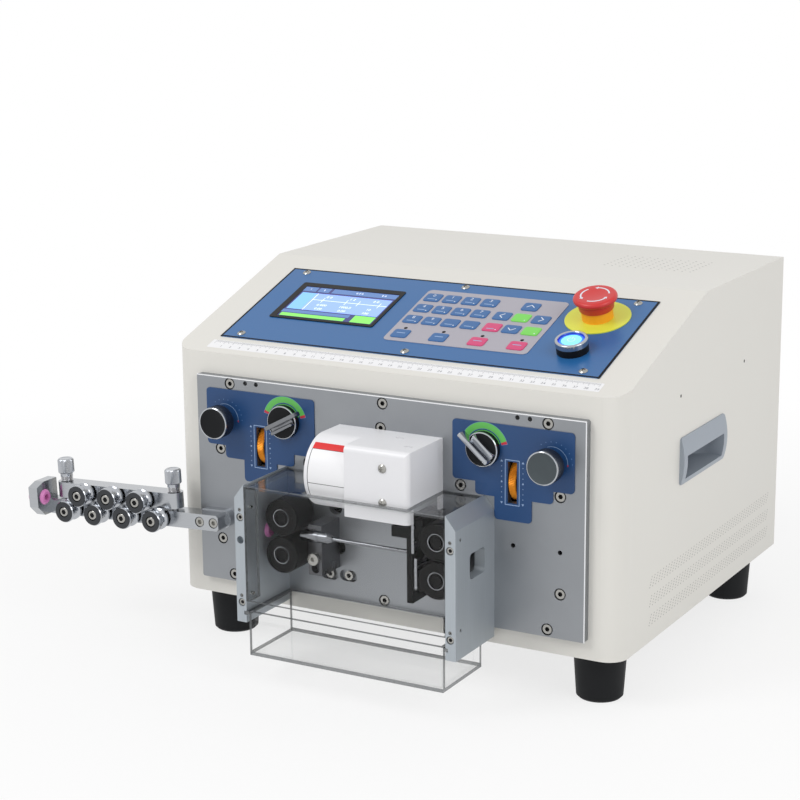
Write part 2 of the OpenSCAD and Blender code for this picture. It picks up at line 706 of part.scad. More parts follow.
module carriage(z, blade_x) {
    x1 = feed_x - roller_d / 2 - 2 * gap;
    open_side = blade_x > upper_blade_x ? 0 : eps;
    color([0.13, 0.13, 0.14]) difference() {
        union() {
            translate([upper_blade_x, carriage_y0, z - carriage_h / 2])
                cube([x1 - upper_blade_x, rail_y - gap - carriage_y0, carriage_h]);
            translate([cutter_x - tongue_w / 2, rail_y - gap - eps, z - tongue_h / 2])
                cube([tongue_w, screw_y - rail_y, tongue_h]);
            translate([cutter_x - 9, screw_y - 9, z - nut_h / 2]) cube([18, 18, nut_h]);
        }
        translate([cutter_x, screw_y, z - nut_h]) cylinder(d = lead_d + 2 * fit, h = 2 * nut_h);
        translate([blade_x - open_side, carriage_y0 - eps, z - carriage_h])
            cube([blade_t + open_side, wire_y + blade_w / 2 - carriage_y0 + eps, 2 * carriage_h]);
    }
}
upper_blade_x = cutter_x - gap / 2 - blade_t;
lower_blade_x = cutter_x + gap / 2;
module upper_carriage() { carriage(upper_z, upper_blade_x); }
module lower_carriage() { carriage(lower_z, lower_blade_x); }
module blade(x, k) {
    color([0.66, 0.67, 0.69]) slab_x(x, x + blade_t) translate([wire_y, wire_z])
        polygon([for (p = [[-0.5, open - 6], [0, open], [0.5, open - 6], [0.5, 0], [-0.5, 0]])
            [p[0] * blade_w, k * (p[1] == 0 ? 30 : p[1])]]);
}
module upper_blade() { blade(upper_blade_x, 1); }
module lower_blade() { blade(lower_blade_x, -1); }

// Wire box: brackets, cover and tray
module bracket(m) {
    side = [[0, bracket_z0], [bracket_t, bracket_z0], [bracket_t, bracket_z1 - bracket_cut], [0.5, bracket_z1],
            [0, bracket_z1]];
    difference() {
        slab_y(box_y, plate_y) polygon([for (p = side) [m * (box_half + p[0]), p[1]]]);
        translate([m * box_half - (rim_in + gap), box_y - eps, tray_top - rim_t - gap])
            cube([2 * (rim_in + gap), box_depth + 2 * eps, rim_t + 2 * gap]);
        for (z = cover_screw_z) rod_x(box_y + 9, z, m * box_half - 15, m * box_half + 15, grub_d + 0.2);
        for (z = [bracket_z1 - 23.2, bracket_z0 + 25]) rod_y(m * (box_half + 4.6), z, box_y - eps, box_y + 4, 3.4);
        for (z = [bracket_z1 - 30.2, bracket_z0 + 18.5]) rod_y(m * (box_half + 4.6), z, box_y - eps, box_y + 4, 7.4);
    }
}
cover_screw_z = [wire_z + 29.2, wire_z - 51.3];
module left_bracket() {
    color([0.66, 0.67, 0.69]) difference() {
        bracket(-1);
        rod_x(wire_y, wire_z, -box_half - bracket_t - eps, -box_half + eps, 11);
        rod_y(-box_half - 4.6, wire_z, box_y - eps, box_y + 6, 7);
    }
}
module right_bracket() {
    color([0.66, 0.67, 0.69]) difference() {
        bracket(1);
        slab_x(box_half - eps, box_half + bracket_t + eps) translate([wire_y, wire_z]) rounded_mid(28, 23, 4);
    }
}
cover_half = box_half - gap;
module safety_cover() {
    color([0.85, 0.9, 0.92, 0.35]) difference() {
        union() {
            slab_y(box_y, box_y + acrylic_t) translate([-cover_half, cover_low])
                square([2 * cover_half, cover_top - cover_low]);
            translate([-cover_half, box_y, cover_top - acrylic_t]) cube([2 * cover_half, box_depth, acrylic_t]);
            for (m = [-1, 1]) translate([m * (cover_half - acrylic_t / 2) - acrylic_t / 2, box_y + acrylic_t, cover_low])
                cube([acrylic_t, 15, cover_top - cover_low]);
        }
        translate([guard_x0 - 0.5, guard_y - 3, cover_top - acrylic_t - eps])
            cube([guard_x1 - guard_x0 + 1, plate_y - guard_y + 4, acrylic_t + 2 * eps]);
        for (m = [-1, 1], z = cover_screw_z) rod_x(box_y + 9, z, m * cover_half - 5, m * cover_half + 5, grub_d + 0.2);
    }
}
module scrap_tray() {
    y0 = box_y + 0.5;
    depth = plate_y - 0.5 - y0;
    color([0.85, 0.9, 0.92, 0.35]) difference() {
        union() {
            translate([-tray_half, y0, tray_top - tray_h]) cube([2 * tray_half, depth, tray_h]);
            translate([-box_half - rim_in, y0, tray_top - rim_t]) cube([2 * (box_half + rim_in), depth, rim_t]);
        }
        translate([-tray_half + tray_wall, y0 + tray_wall, tray_top - tray_h + tray_wall])
            cube([2 * (tray_half - tray_wall), depth - 2 * tray_wall, tray_h]);
    }
}

// Blade guard: a moulded hood, rounded on the left and square on the right
module guard_round(t) {
    translate([guard_cy, guard_z0 + guard_r]) circle(guard_r - t);
    translate([guard_cy, guard_z0 + t]) square([plate_y - guard_cy + (t > 0 ? eps : 0), 2 * (guard_r - t)]);
}
module guard_square(t) {
    r = guard_edge - t;
    y = guard_y + t;
    z1 = guard_z1 - t;
    low = guard_z0 + guard_step - (t > 0 ? 10 : 0);
    back = plate_y + (t > 0 ? eps : 0);
    translate([y + r, low]) square([back - y - r, z1 - low]);
    translate([y, low]) square([r + 0.01, z1 - r - low]);
    translate([y + r, z1 - r]) circle(r);
}
module guard_plan(t) {
    r = guard_edge - t;
    x = guard_x1 - t;
    y = guard_y + t;
    translate([guard_mid, y + r]) square([x - guard_mid, plate_y + eps - y - r]);
    translate([guard_mid, y]) square([x - r - guard_mid, r + eps]);
    translate([x - r, y + r]) circle(r);
}
module guard_right(t, x0) {
    intersection() {
        slab_x(x0, guard_x1 - t) guard_square(t);
        translate([0, 0, guard_z0 - 20]) linear_extrude(2 * guard_r + 40) guard_plan(t);
    }
}
module blade_guard() {
    color([0.92, 0.92, 0.93]) difference() {
        union() {
            slab_x(guard_x0, guard_mid + eps) guard_round(0);
            guard_right(0, guard_mid);
        }
        slab_x(guard_x0 + guard_t, guard_mid + 2 * eps) guard_round(guard_t);
        guard_right(guard_t, guard_mid + eps);
        for (at = guard_slits) translate([at[0], at[1], guard_z1]) cube([8, 2, 3 * guard_t], center = true);
        translate([guard_mid + eps, guard_y + 9, guard_z0 - eps])
            cube([guard_right_w, plate_y - guard_y - 15, cover_top - guard_z0 + eps]);
        for (at = guard_screws) rod_y(at[0], at[1], guard_y - eps, guard_y + guard_t + eps, 3.4);
        translate([guard_x0 - eps, plate_y, guard_z0 - eps]) cube([guard_x1 - guard_x0 + 2 * eps, 10, 2 * guard_r + 2 * eps]);
    }
}
guard_edge = 5;
guard_slits = [[guard_x1 - 33, plate_y - 17], [guard_x1 - 11.7, plate_y - 40]];
guard_screws = [[guard_x1 - 25.3, guard_z1 - 15.9], [guard_x1 - 25.3, guard_z1 - 46.5]];

// Fasteners
screw_shank = 5;
grub_d = 3;
module socket_screw(l, d = screw_d) {
    difference() {
        union() {
            cylinder(d = d, h = screw_h);
            translate([0, 0, -l]) cylinder(d = screw_shank, h = l + eps);
        }
        translate([0, 0, screw_h - 2.4]) cylinder(d = 4.6, h = 3, $fn = 6);
    }
}
module grub_screw(l) {
    difference() {
        translate([0, 0, -l]) cylinder(d = grub_d, h = l);
        translate([0, 0, -1.5]) cylinder(d = 1.6, h = 3, $fn = 6);
    }
}
module socket_screws() {
    color([0.35, 0.35, 0.36]) {
        for (at = concat(edge_screws, oval_screws)) translate([at[0], plate_y + 0.4 + screw_h, at[1]])
            rotate([90, 0, 0]) socket_screw(6);
        for (at = pillar_at) translate([at[0], plate_y + 0.4 + screw_h, at[1]]) rotate([90, 0, 0]) socket_screw(12);
        for (m = [-1, 1], z = cover_screw_z) translate([m * (box_half + bracket_t - 0.6), box_y + 9, z])
            rotate([0, m * 90, 0]) grub_screw(bracket_t + 2);
        translate([holder_x, holder_y, clamp_z]) rotate([90, 0, 0]) socket_screw(13, clamp_d);
        on_arm() for (x = foot_screws) translate([x, bar_y0 + screw_h + 0.4, -row_z]) rotate([90, 0, 0]) socket_screw(14);
    }
}
module pan_screw() {
    difference() {
        union() {
            intersection() {
                translate([0, 0, -3.2]) sphere(5.4);
                cylinder(d = 8, h = 3);
            }
            translate([0, 0, -4]) cylinder(d = 3, h = 5);
        }
        translate([0, 0, 2]) for (a = [0, 90]) rotate(a) cube([4.4, 0.9, 2], center = true);
    }
}
module cross_head_screws() {
    color("silver") {
        for (at = panel_screws) on_slope(at, panel_t) pan_screw();
        for (at = guard_screws) translate([at[0], guard_y, at[1]]) rotate([90, 0, 0]) pan_screw();
    }
}

// Control panel on the slope
module control_panel() {
    color([0.27, 0.44, 0.68]) difference() {
        on_slope([0, panel_s]) linear_extrude(panel_t) rounded_mid(panel_w, panel_l, 2);
        on_slope(display_at, -eps) linear_extrude(panel_t + 2 * eps) square([display_w - 9, display_h - 9], center = true);
        for (at = [stop_at, power_at]) on_slope(at, -eps) cylinder(d = hole_d, h = panel_t + 2 * eps);
        for (at = panel_screws) on_slope(at, -eps) cylinder(d = 3.2, h = panel_t + 2 * eps);
    }
}
view_w = 102.5;
view_h = 58.5;
module display() {
    color([0.06, 0.06, 0.07]) on_slope(display_at, panel_t) difference() {
        union() {
            linear_extrude(0.8) rounded_mid(display_w, display_h, 2);
            translate([-(display_w - 10) / 2, -(display_h - 10) / 2, -14 - panel_t])
                cube([display_w - 10, display_h - 10, 14.3 + panel_t]);
        }
        translate([1.5 - view_w / 2, -1.6 - view_h / 2, 0.4]) cube([view_w, view_h, 2]);
    }
}
// Ten figure keys and two more on the left, arrows and start keys on the right, four below
key_x = [-61.3, -41.7, -21.9, -2, 20.7, 39.9, 59.5];
key_s = [33.4, 12.4, -9];
function key_at() = concat(
    [for (c = [0:6], r = [0:2]) if (r > 0 || c < 4 || c == 5) [key_x[c], key_s[r]]],
    [for (c = [0:3]) [-59.4 + c * 39.1, -35.9]]);
module keypad() {
    color([0.67, 0.66, 0.7]) on_slope(keypad_at, panel_t) {
        linear_extrude(0.5) rounded_mid(keypad_w, keypad_h, 5);
        for (at = key_at()) translate([at[0], at[1], 0.4]) linear_extrude(0.7) rounded_mid(16.4, 14.2, 2.5);
    }
}
module estop_plate() {
    color([0.87, 0.9, 0.43]) on_slope(stop_at, panel_t) difference() {
        cylinder(d = legend_d, h = legend_t);
        translate([0, 0, -eps]) cylinder(d = hole_d, h = legend_t + 2 * eps);
    }
}
module estop_collar() {
    color([0.96, 0.67, 0.2]) on_slope(stop_at, panel_t) difference() {
        union() {
            translate([0, 0, legend_t]) rotate_extrude()
                polygon([[0, 0], [collar_d / 2, 0], [collar_d / 2, collar_h - 1], [collar_d / 2 - 1, collar_h], [0, collar_h]]);
            translate([0, 0, -26]) cylinder(d = hole_d - 0.5, h = 27 + legend_t);
        }
        translate([0, 0, -30]) cylinder(d = stem_d + 2 * fit, h = 60);
    }
}
module estop_stem() {
    color([0.3, 0.3, 0.3]) on_slope(stop_at) {
        translate([0, 0, -18]) cylinder(d = stem_d, h = 18 + head_low + cup_deep - gap);
        cylinder(d = 8, h = head_low + cup_deep + 4);
    }
}
// A mushroom whose skirt slides down over the collar, with a rolled rim and a shallow dish in its top
module estop_head() {
    r = head_d / 2;
    roll = 3;
    bore = collar_d / 2 + gap;
    dish_r = 80;
    color([0.77, 0.18, 0.18]) on_slope(stop_at, head_low) difference() {
        rotate_extrude() difference() {
            union() {
                polygon([[0, 0], [bore + 0.8, 0], [bore + 1.2, 0.6], [bore + 1.8, 8], [0, 8]]);
                translate([0, head_h - 2 * roll]) square([r - roll, 2 * roll]);
                translate([r - roll, head_h - roll]) circle(roll);
            }
            translate([0, head_h + dish_r - 0.9]) circle(dish_r, $fn = 180);
            translate([0, -eps]) square([bore, cup_deep + eps]);
        }
        cylinder(d = 8 + 2 * fit, h = cup_deep + 5);
    }
}
// Power button: a round base, a bright ring with a rolled rim on it and a lens just below the rim
bezel_h = 12.3;
module power_bezel() {
    r = bezel_d / 2;
    roll = 1.1;
    color("silver") on_slope(power_at, panel_t) difference() {
        union() {
            rotate_extrude() {
                polygon([[0, 0], [r - 0.3, 0], [r - 0.3, 5.8], [r - 0.8, 6.1], [r - 0.8, 6.4], [r, 6.9],
                         [r, bezel_h - roll], [0, bezel_h - roll]]);
                translate([0, bezel_h - 2 * roll]) square([r - roll, 2 * roll]);
                translate([r - roll, bezel_h - roll]) circle(roll);
            }
            translate([0, 0, -20]) cylinder(d = hole_d - 0.5, h = 21);
        }
        translate([0, 0, 1.5]) cylinder(d = lens_d + 2 * gap, h = bezel_h);
        translate([0, 0, -30]) cylinder(d = button_stem + 2 * fit, h = 60);
    }
}
module power_button() {
    low = 1.5 + gap + button_travel;
    lens_h = bezel_h - 1.1 - low;
    color([0.3, 0.75, 0.95]) on_slope(power_at, panel_t) {
        translate([0, 0, low]) intersection() {
            cylinder(d = lens_d, h = lens_h);
            translate([0, 0, lens_h - 60]) sphere(60, $fn = 180);
        }
        translate([0, 0, -16]) cylinder(d = button_stem, h = 16 + low + 1);
    }
}

// Straightener: drawn with x running out along the arm
foot_screws = [5.5, 20.8];
function row_at(i) = i < 4 ? [lower_x + i * st_pitch, -row_z] : [upper_x + (i - 4) * st_pitch, row_z];
module stud(i) {
    at = row_at(i);
    front = wire_y - st_l / 2;
    rod_y(at[0], at[1], front + head_seat - gap - eps, bar_y0 + eps, stud_d);
    rod_y(at[0], at[1], front + 0.6, front + head_seat - gap, 2 * head_r);
}
module arm_bar() {
    color([0.72, 0.73, 0.75]) on_arm() difference() {
        union() {
            slab_y(bar_y0, bar_y1) translate([0, -row_z - bar_h / 2]) polygon([[2, 0], [block_x0, 0],
                [block_x0, bar_h], [2, bar_h], [0, bar_h - 2], [0, 2]]);
            slab_y(bar_y1 - eps, plate_y) translate([-3.5, -row_z - bar_h / 2 - 1])
                rounded(37, bar_h + 2, bar_h / 2 + 0.9);
            for (i = [0:3]) stud(i);
        }
        for (x = foot_screws) {
            rod_y(x, -row_z, bar_y0 - eps, bar_y0 + screw_h + 0.4, recess_d - 1);
            rod_y(x, -row_z, bar_y0 - eps, bar_y1 + 4, screw_shank + 0.2);
        }
        for (x = [press_x0, press_x1]) translate([x, (bar_y0 + bar_y1) / 2, -row_z - bar_h])
            cylinder(d = stud_d + 2 * fit, h = 2 * bar_h);
    }
}
module pressure_bar() {
    y = (bar_y0 + bar_y1) / 2;
    color([0.72, 0.73, 0.75]) on_arm() difference() {
        union() {
            translate([0, 0, row_z - bar_h / 2]) linear_extrude(bar_h) {
                translate([press_x0, bar_y0]) square([press_x1 - press_x0, bar_d]);
                for (x = [press_x0, press_x1]) translate([x, y]) circle(bar_d / 2);
            }
            for (i = [4:6]) stud(i);
        }
        for (x = [press_x0, press_x1]) translate([x, y, row_z - bar_h]) cylinder(d = stud_d + 2 * fit, h = 2 * bar_h);
    }
}
module thumb_screw(x) {
    top = row_z + bar_h / 2 + gap;
    color("silver") on_arm() translate([x, (bar_y0 + bar_y1) / 2, 0]) {
        translate([0, 0, -row_z - bar_h / 2 + 3]) cylinder(d = stud_d, h = 2 * row_z + bar_h);
        translate([0, 0, top]) cylinder(d = stem_w, h = stem_l + eps);
        translate([0, 0, top + stem_l]) rotate_extrude()
            polygon([[0, 0], [thumb_d / 2 - 1, 0], [thumb_d / 2, 1], [thumb_d / 2, thumb_l - 1.5],
                     [thumb_d / 2 - 1.5, thumb_l], [0, thumb_l]]);
    }
}
module left_thumb_screw() { thumb_screw(press_x1); }
module right_thumb_screw() { thumb_screw(press_x0); }
module straightener_roller(i) {
    r = st_d / 2;
    l = st_l;
    bore = stud_d / 2 + fit;
    seat = head_r + 0.7;
    color([0.3, 0.31, 0.33]) on_arm() turned_y(row_at(i)[0], wire_y + l / 2, row_at(i)[1]) difference() {
        polygon([[bore, 0], [6, 0], [6, 1.5], [r, 1.5], [r, l - 1], [r - 1, l], [seat, l], [seat, l - head_seat],
                 [bore, l - head_seat]]);
        translate([r - groove_deep + groove_r, l / 2]) circle(groove_r);
    }
}
module straightener_roller_1() { straightener_roller(0); }
module straightener_roller_2() { straightener_roller(1); }
module straightener_roller_3() { straightener_roller(2); }
module straightener_roller_4() { straightener_roller(3); }
module straightener_roller_5() { straightener_roller(4); }
module straightener_roller_6() { straightener_roller(5); }
module straightener_roller_7() { straightener_roller(6); }
module eyelet_block() {
    w = bar_y0 + 11 - block_y0;
    color([0.72, 0.73, 0.75]) on_arm() difference() {
        slab_x(block_x0, block_x0 + block_t) translate([block_y0, 0]) polygon([[block_low[0], block_z0], [w, block_z0],
            [w, block_z1], [block_high[0], block_z1], [0, block_z1 - block_high[1]], [0, block_z0 + block_low[1]]]);
        rod_x(wire_y, eyelet_up, block_x0 - eps, block_x0 + block_t + eps, 11);
    }
}
// Ceramic eyelet along X: t is the thickness of the wall that it sits in
module eyelet(t, in, out) {
    rotate([0, 90, 0]) rotate_extrude()
        polygon([[3, -in], [eyelet_r - 2, -in], [eyelet_r, 2 - in], [eyelet_r, 0], [5.4, 0], [5.4, t],
                 [eyelet_r, t], [eyelet_r, t + out - 2], [eyelet_r - 2, t + out], [3, t + out]]);
}
module ceramic_eyelets() {
    color([0.84, 0.5, 0.74]) {
        on_arm() translate([block_x0, wire_y, eyelet_up]) eyelet(block_t, 2.4, eyelet_flange);
        translate([-box_half - bracket_t, wire_y, wire_z]) eyelet(bracket_t, 3, 3);
    }
}

// Inside the housing
pillar_d = 12;
lug_t = 6;
axle_d = 6;
module motor(w, l) {
    cut = w / 10;
    linear_extrude(l) difference() {
        square(w, center = true);
        for (a = [0:90:270]) rotate(a) translate([w / 2, w / 2]) rotate(45) square(cut * 2, center = true);
    }
}
module stepper_motors() {
    color([0.16, 0.16, 0.17]) {
        for (m = [-1, 1]) translate([m * feed_x, bearing_y + bearing_t, wire_z - roller_off])
            rotate([-90, 0, 0]) motor(56, 56);
        translate([cutter_x, screw_y, lead_z1]) motor(34, 40);
    }
}
module power_supply() {
    color([0.75, 0.76, 0.77]) translate([8 - supply_w, rear_y - 32 - supply_d, floor_z + sheet_t])
        cube([supply_w, supply_d, supply_h]);
}
module control_board() {
    post = 10;
    in = 8;
    top = post + 1.6;
    color([0.1, 0.4, 0.22]) translate([40, rear_y - 50 - board_d, floor_z + sheet_t]) {
        for (x = [in, board_w - in], y = [in, board_d - in]) translate([x, y, 0]) cylinder(d = 6, h = post);
        translate([0, 0, post]) cube([board_w, board_d, top - post]);
        translate([20, 20, top - eps]) cube([board_w - 100, board_d - 70, 14]);
        translate([board_w - 60, 18, top - eps]) cube([board_w - 100, 16, 10]);
        translate([in + 4, board_d - 30, top - eps]) cube([board_w - 24, 12, 9]);
    }
}

place() housing();
place() chassis();
place() front_plate();
place() bearing_plate();
place() rubber_feet();
place() side_handles();
place() control_panel();
place() cross_head_screws();
place() keypad();
place() display();
place() estop_plate();
place() estop_collar();
place() estop_stem();
place() estop_head();
place() power_bezel();
place() power_button();
place() dial_plates();
place() socket_screws();
place() left_bracket();
place() right_bracket();
place() safety_cover();
place() scrap_tray();
place() blade_guard();
place() front_pressure_knob();
place() rear_pressure_knob();
place() front_lift_lever();
place() rear_lift_lever();
place() front_gap_wheel();
place() rear_gap_wheel();
place() front_lift_block();
place() rear_lift_block();
place() front_upper_roller();
place() front_lower_roller();
place() rear_upper_roller();
place() rear_lower_roller();
place() nozzle_holder();
place() guide_nozzle();
place() cutter_rail();
place() cutter_screw();
place() upper_carriage();
place() lower_carriage();
place() upper_blade();
place() lower_blade();
place() arm_bar();
place() pressure_bar();
place() left_thumb_screw();
place() right_thumb_screw();
place() eyelet_block();
place() ceramic_eyelets();
place() straightener_roller_1();
place() straightener_roller_2();
place() straightener_roller_3();
place() straightener_roller_4();
place() straightener_roller_5();
place() straightener_roller_6();
place() straightener_roller_7();
place() stepper_motors();
place() power_supply();
place() control_board();
place() power_inlet();
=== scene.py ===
"""Looks of a bench-top wire cutting and stripping machine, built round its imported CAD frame."""

import json
import math

import bmesh
import bpy
import numpy as np
from bpy.props import FloatProperty, FloatVectorProperty, IntProperty, PointerProperty
from mathutils import Matrix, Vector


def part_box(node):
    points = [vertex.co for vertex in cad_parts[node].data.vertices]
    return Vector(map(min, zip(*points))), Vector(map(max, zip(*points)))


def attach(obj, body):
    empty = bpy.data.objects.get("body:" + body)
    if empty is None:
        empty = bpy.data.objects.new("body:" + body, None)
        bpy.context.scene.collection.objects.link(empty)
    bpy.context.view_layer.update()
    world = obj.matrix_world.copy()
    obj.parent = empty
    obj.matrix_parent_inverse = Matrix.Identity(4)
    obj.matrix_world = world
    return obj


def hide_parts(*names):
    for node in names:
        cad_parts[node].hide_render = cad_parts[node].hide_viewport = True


bl_info = {
    "name": "Wire cutting and stripping machine",
    "version": (1, 0, 0),
    "blender": (4, 5, 0),
    "location": "View3D > Sidebar > Wire machine",
    "description": "Finishes, printed scales, keys and fine detail of a bench-top wire machine",
    "category": "Object",
}

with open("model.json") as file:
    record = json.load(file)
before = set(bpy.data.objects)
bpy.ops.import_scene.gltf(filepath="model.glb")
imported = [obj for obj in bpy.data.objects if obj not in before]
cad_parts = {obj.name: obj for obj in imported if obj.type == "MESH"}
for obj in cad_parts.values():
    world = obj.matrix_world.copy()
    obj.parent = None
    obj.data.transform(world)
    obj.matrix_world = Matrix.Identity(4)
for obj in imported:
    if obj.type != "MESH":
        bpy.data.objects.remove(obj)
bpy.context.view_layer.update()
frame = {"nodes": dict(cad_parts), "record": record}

# Places on the machine, in millimetres from the middle of the housing's front at floor level. On the front they are
# across and up, on the slope across and along it from its lower lip, and on the arm out from its foot
MM = 0.001
HOUSE_LOW, HOUSE_HIGH = (np.array(corner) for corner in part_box("housing"))
TO_FRAME = np.array([(HOUSE_LOW[0] + HOUSE_HIGH[0]) / 2, HOUSE_LOW[1], 0])
SIDE_X = (HOUSE_HIGH[0] - HOUSE_LOW[0]) / 2 / MM
TOP_Z = HOUSE_HIGH[2] / MM
LIP_Z, SLOPE_RUN = 280.2, 185
SLOPE = math.atan2(TOP_Z - LIP_Z, SLOPE_RUN)
PANEL_T = 0.8
PANEL_SIZE, PANEL_MID = (386.2, 138.84), 97.82
SCREEN_AT, SCREEN_SIZE = (-107.5, 104.2), (102.3, 58.3)
KEYPAD_AT = (40.3, 100.9)
STOP_AT = (149.0, 128.0)
POWER_AT = (150.9, 68.2)
PLATE_HALF, PLATE_TOP, PLATE_LOW, PLATE_Y = 197.7, 260.2, 63.8, -6.8
PLATE_SCREWS = [(-161.5, 253.9), (0, 253.4), (161.5, 253.9), (-162, 70.5), (0, 70.5), (162, 70.5)]
PLATE_SCREWS += [(-2, 230.9), (-57, 87.2), (-37.3, 88.1)]
PLATE_SCREWS += [(m * x, z) for m in (-1, 1) for x, z in ((174, 104.2), (173.5, 191.2), (77.8, 189.1))]
DIAL_Y = -7.8
LEVER = (101.5, 225.5)
KNOB = (166.5, 220.5)
WHEEL = (128.5, 11.0, 198.0)
WIRE_Z = 132.3
FEED_X, ROLLER_OFF = 78.5, 17.3
BOX_HALF, BOX_Y = 101.0, -79.0
BRACKET_LOW, BRACKET_TOP = 55.5, 183.5
GUARD_LEFT, GUARD_RIGHT, GUARD_Y, GUARD_Z, GUARD_R = -44.0, -3.0, -36.0, 196.5, 33.0
ARM_TILT = math.radians(2.6)
ARM_START = (-163, 0, 134.2)
BAR_MID_Y = -22.2
LOWER_U, UPPER_U, ROLLER_PITCH, ROW_Z = 65.3, 82.3, 34.0, 8.4
THUMB_U = {"right": 53.5, "left": 179.9}


def srgb(red, green, blue):
    """A colour written as 0 to 255, as linear light."""
    c = np.array([red, green, blue]) / 255
    return tuple(float(x) for x in np.where(c <= 0.04045, c / 12.92, ((c + 0.055) / 1.055) ** 2.4))


def colour(name, text, *rgb):
    return FloatVectorProperty(name=name, description=text, subtype="COLOR", min=0, max=1, default=srgb(*rgb))


def length(name, text, value, low, high):
    return FloatProperty(name=name, description=text, default=value, min=low, max=high, unit="LENGTH")


class WireMachineColours(bpy.types.PropertyGroup):
    """Colours that a user would change."""

    body: colour("Housing", "Powder coat of the housing", 222, 220, 214)
    panel: colour("Panel", "Print of the sloped control panel", 38, 98, 156)
    dial: colour("Dial plates", "Print of the two dial plates", 26, 66, 114)
    keypad: colour("Keypad", "Membrane round the keys", 170, 167, 176)
    key_blue: colour("Blue keys", "Figure and arrow keys", 44, 98, 156)
    key_pink: colour("Pink keys", "Stop keys", 208, 62, 116)
    key_green: colour("Green keys", "Start keys", 118, 212, 84)
    stop: colour("Stop button", "Head of the emergency stop", 204, 44, 44)
    legend: colour("Legend disc", "Disc under the emergency stop", 222, 228, 74)
    collar: colour("Stop collar", "Collar of the emergency stop", 250, 168, 34)
    lens: colour("Power lens", "Lit lens of the power button", 44, 120, 240)
    brass: colour("Thumbwheels", "Knurled adjusting wheels", 198, 122, 14)
    ceramic: colour("Eyelets", "Ceramic wire eyelets", 216, 128, 190)
    guard: colour("Blade guard", "Moulded blade guard", 232, 232, 235)
    handle: colour("Handles", "Recessed side handles", 152, 160, 170)
    roller: colour("Feed rollers", "Feed rollers and cutter", 14, 14, 14)


class WireMachineSizes(bpy.types.PropertyGroup):
    """Sizes of the detail that a user would change."""

    knurl: length("Knurl depth", "Depth of the knurl on knobs and thumb screws", 0.00035, 0.0001, 0.0008)
    wheel_knurl: length("Wheel knurl", "Depth of the teeth of the thumbwheels", 0.0005, 0.0002, 0.001)
    groove: length("Roller groove", "Depth of the wire groove of a straightener roller", 0.0025, 0.001, 0.004)
    tick: length("Tick width", "Width of a tick of the ruler", 0.00028, 0.0001, 0.0006)
    vent: length("Vent hole", "Radius of a vent hole", 0.0007, 0.0004, 0.0015)
    teeth: IntProperty(name="Knob teeth", description="Teeth round a pressure knob", default=60, min=24, max=90)


# Working planes and shapes -------------------------------------------------------------------


class Plane:
    """A flat working frame on the machine: x to the right, y up and h straight out of it, in millimetres."""

    def __init__(self, origin, right, up):
        self.origin, self.right, self.up = (np.array(v, float) for v in (origin, right, up))
        self.out = np.cross(self.right, self.up)

    def put(self, x, y, h=0.0):
        """origin + x right + y up + h out, as metres in the frame of the CAD."""
        x, y, h = (np.asarray(v, float)[..., None] for v in np.broadcast_arrays(x, y, h))
        return (self.origin + x * self.right + y * self.up + h * self.out) * MM + TO_FRAME

    def at(self, x, y, h=0.0):
        return Plane(self.origin + x * self.right + y * self.up + h * self.out, self.right, self.up)

    def turned(self, angle):
        c, s = math.cos(angle), math.sin(angle)
        return Plane(self.origin, c * self.right + s * self.up, c * self.up - s * self.right)


SLOPE_PLANE = Plane((0, 0, LIP_Z), (1, 0, 0), (0, math.cos(SLOPE), math.sin(SLOPE))).at(0, 0, PANEL_T)
FRONT = Plane((0, 0, 0), (1, 0, 0), (0, 0, 1))
RIGHT = Plane((SIDE_X, 0, 0), (0, 1, 0), (0, 0, 1))
LEFT = Plane((-SIDE_X, 0, 0), (0, -1, 0), (0, 0, 1))
UPWARD = Plane((0, 0, 0), (1, 0, 0), (0, 1, 0))
TOP = UPWARD.at(0, 0, TOP_Z)
SIDEWAYS = Plane((0, 0, 0), (0, 1, 0), (0, 0, 1))
ARM_RIGHT = (math.cos(ARM_TILT), 0, math.sin(ARM_TILT))
ARM = Plane(ARM_START, ARM_RIGHT, (-math.sin(ARM_TILT), 0, math.cos(ARM_TILT)))
ARM_TOP = Plane(ARM_START, ARM_RIGHT, (0, 1, 0))


def ray(t):
    """Points cos t, sin t."""
    return np.stack([np.cos(t), np.sin(t)], -1)


def spin(a):
    """The matrix that turns rows of points by the angle a."""
    return np.array([[math.cos(a), math.sin(a)], [-math.sin(a), math.cos(a)]])


def even(n):
    """n even angles of a full turn."""
    return np.arange(n) * 2 * math.pi / n


def circle(r, n=48):
    """Points r cos t, r sin t."""
    return r * ray(even(n))


def teeth(r, depth, count):
    """A circle whose radius falls by depth between its teeth, as a triangle wave of four points a tooth."""
    per = 4
    n = count * per
    wave = np.abs((np.arange(n) % per) / per - 0.5) * 2
    return ray(even(n)) * (r - depth * (1 - wave))[:, None]


def hexagon(r, n=48):
    """A hexagon of inner radius r at n even angles: r / cos a, with a from the middle of a side."""
    t, step = even(n), math.pi / 3
    return ray(t) * (r / np.cos((t % step) - step / 2))[:, None]


def round_rect(w, h, r, n=5):
    """Four quarter circles of radius r at the corners of a w by h rectangle."""
    t = np.linspace(0, math.pi / 2, n) + np.arange(4)[:, None] * math.pi / 2
    corner = np.array([(1, 1), (-1, 1), (-1, -1), (1, -1)])[:, None] * np.array([w / 2 - r, h / 2 - r])
    return (corner + r * ray(t)).reshape(-1, 2)


def arc_band(r0, r1, a0, a1, n):
    """The outline between two arcs from a0 to a1 degrees: out along r1 and back along r0."""
    arc = ray(np.radians(np.linspace(a0, a1, n)))
    return np.concatenate([arc * r1, arc[::-1] * r0])


def bar(x, y, w, h, angle=0.0):
    """A w by h rectangle round (x, y), turned by angle degrees."""
    return np.array([[-w, -h], [w, -h], [w, h], [-w, h]]) / 2 @ spin(math.radians(angle)) + np.array([x, y])


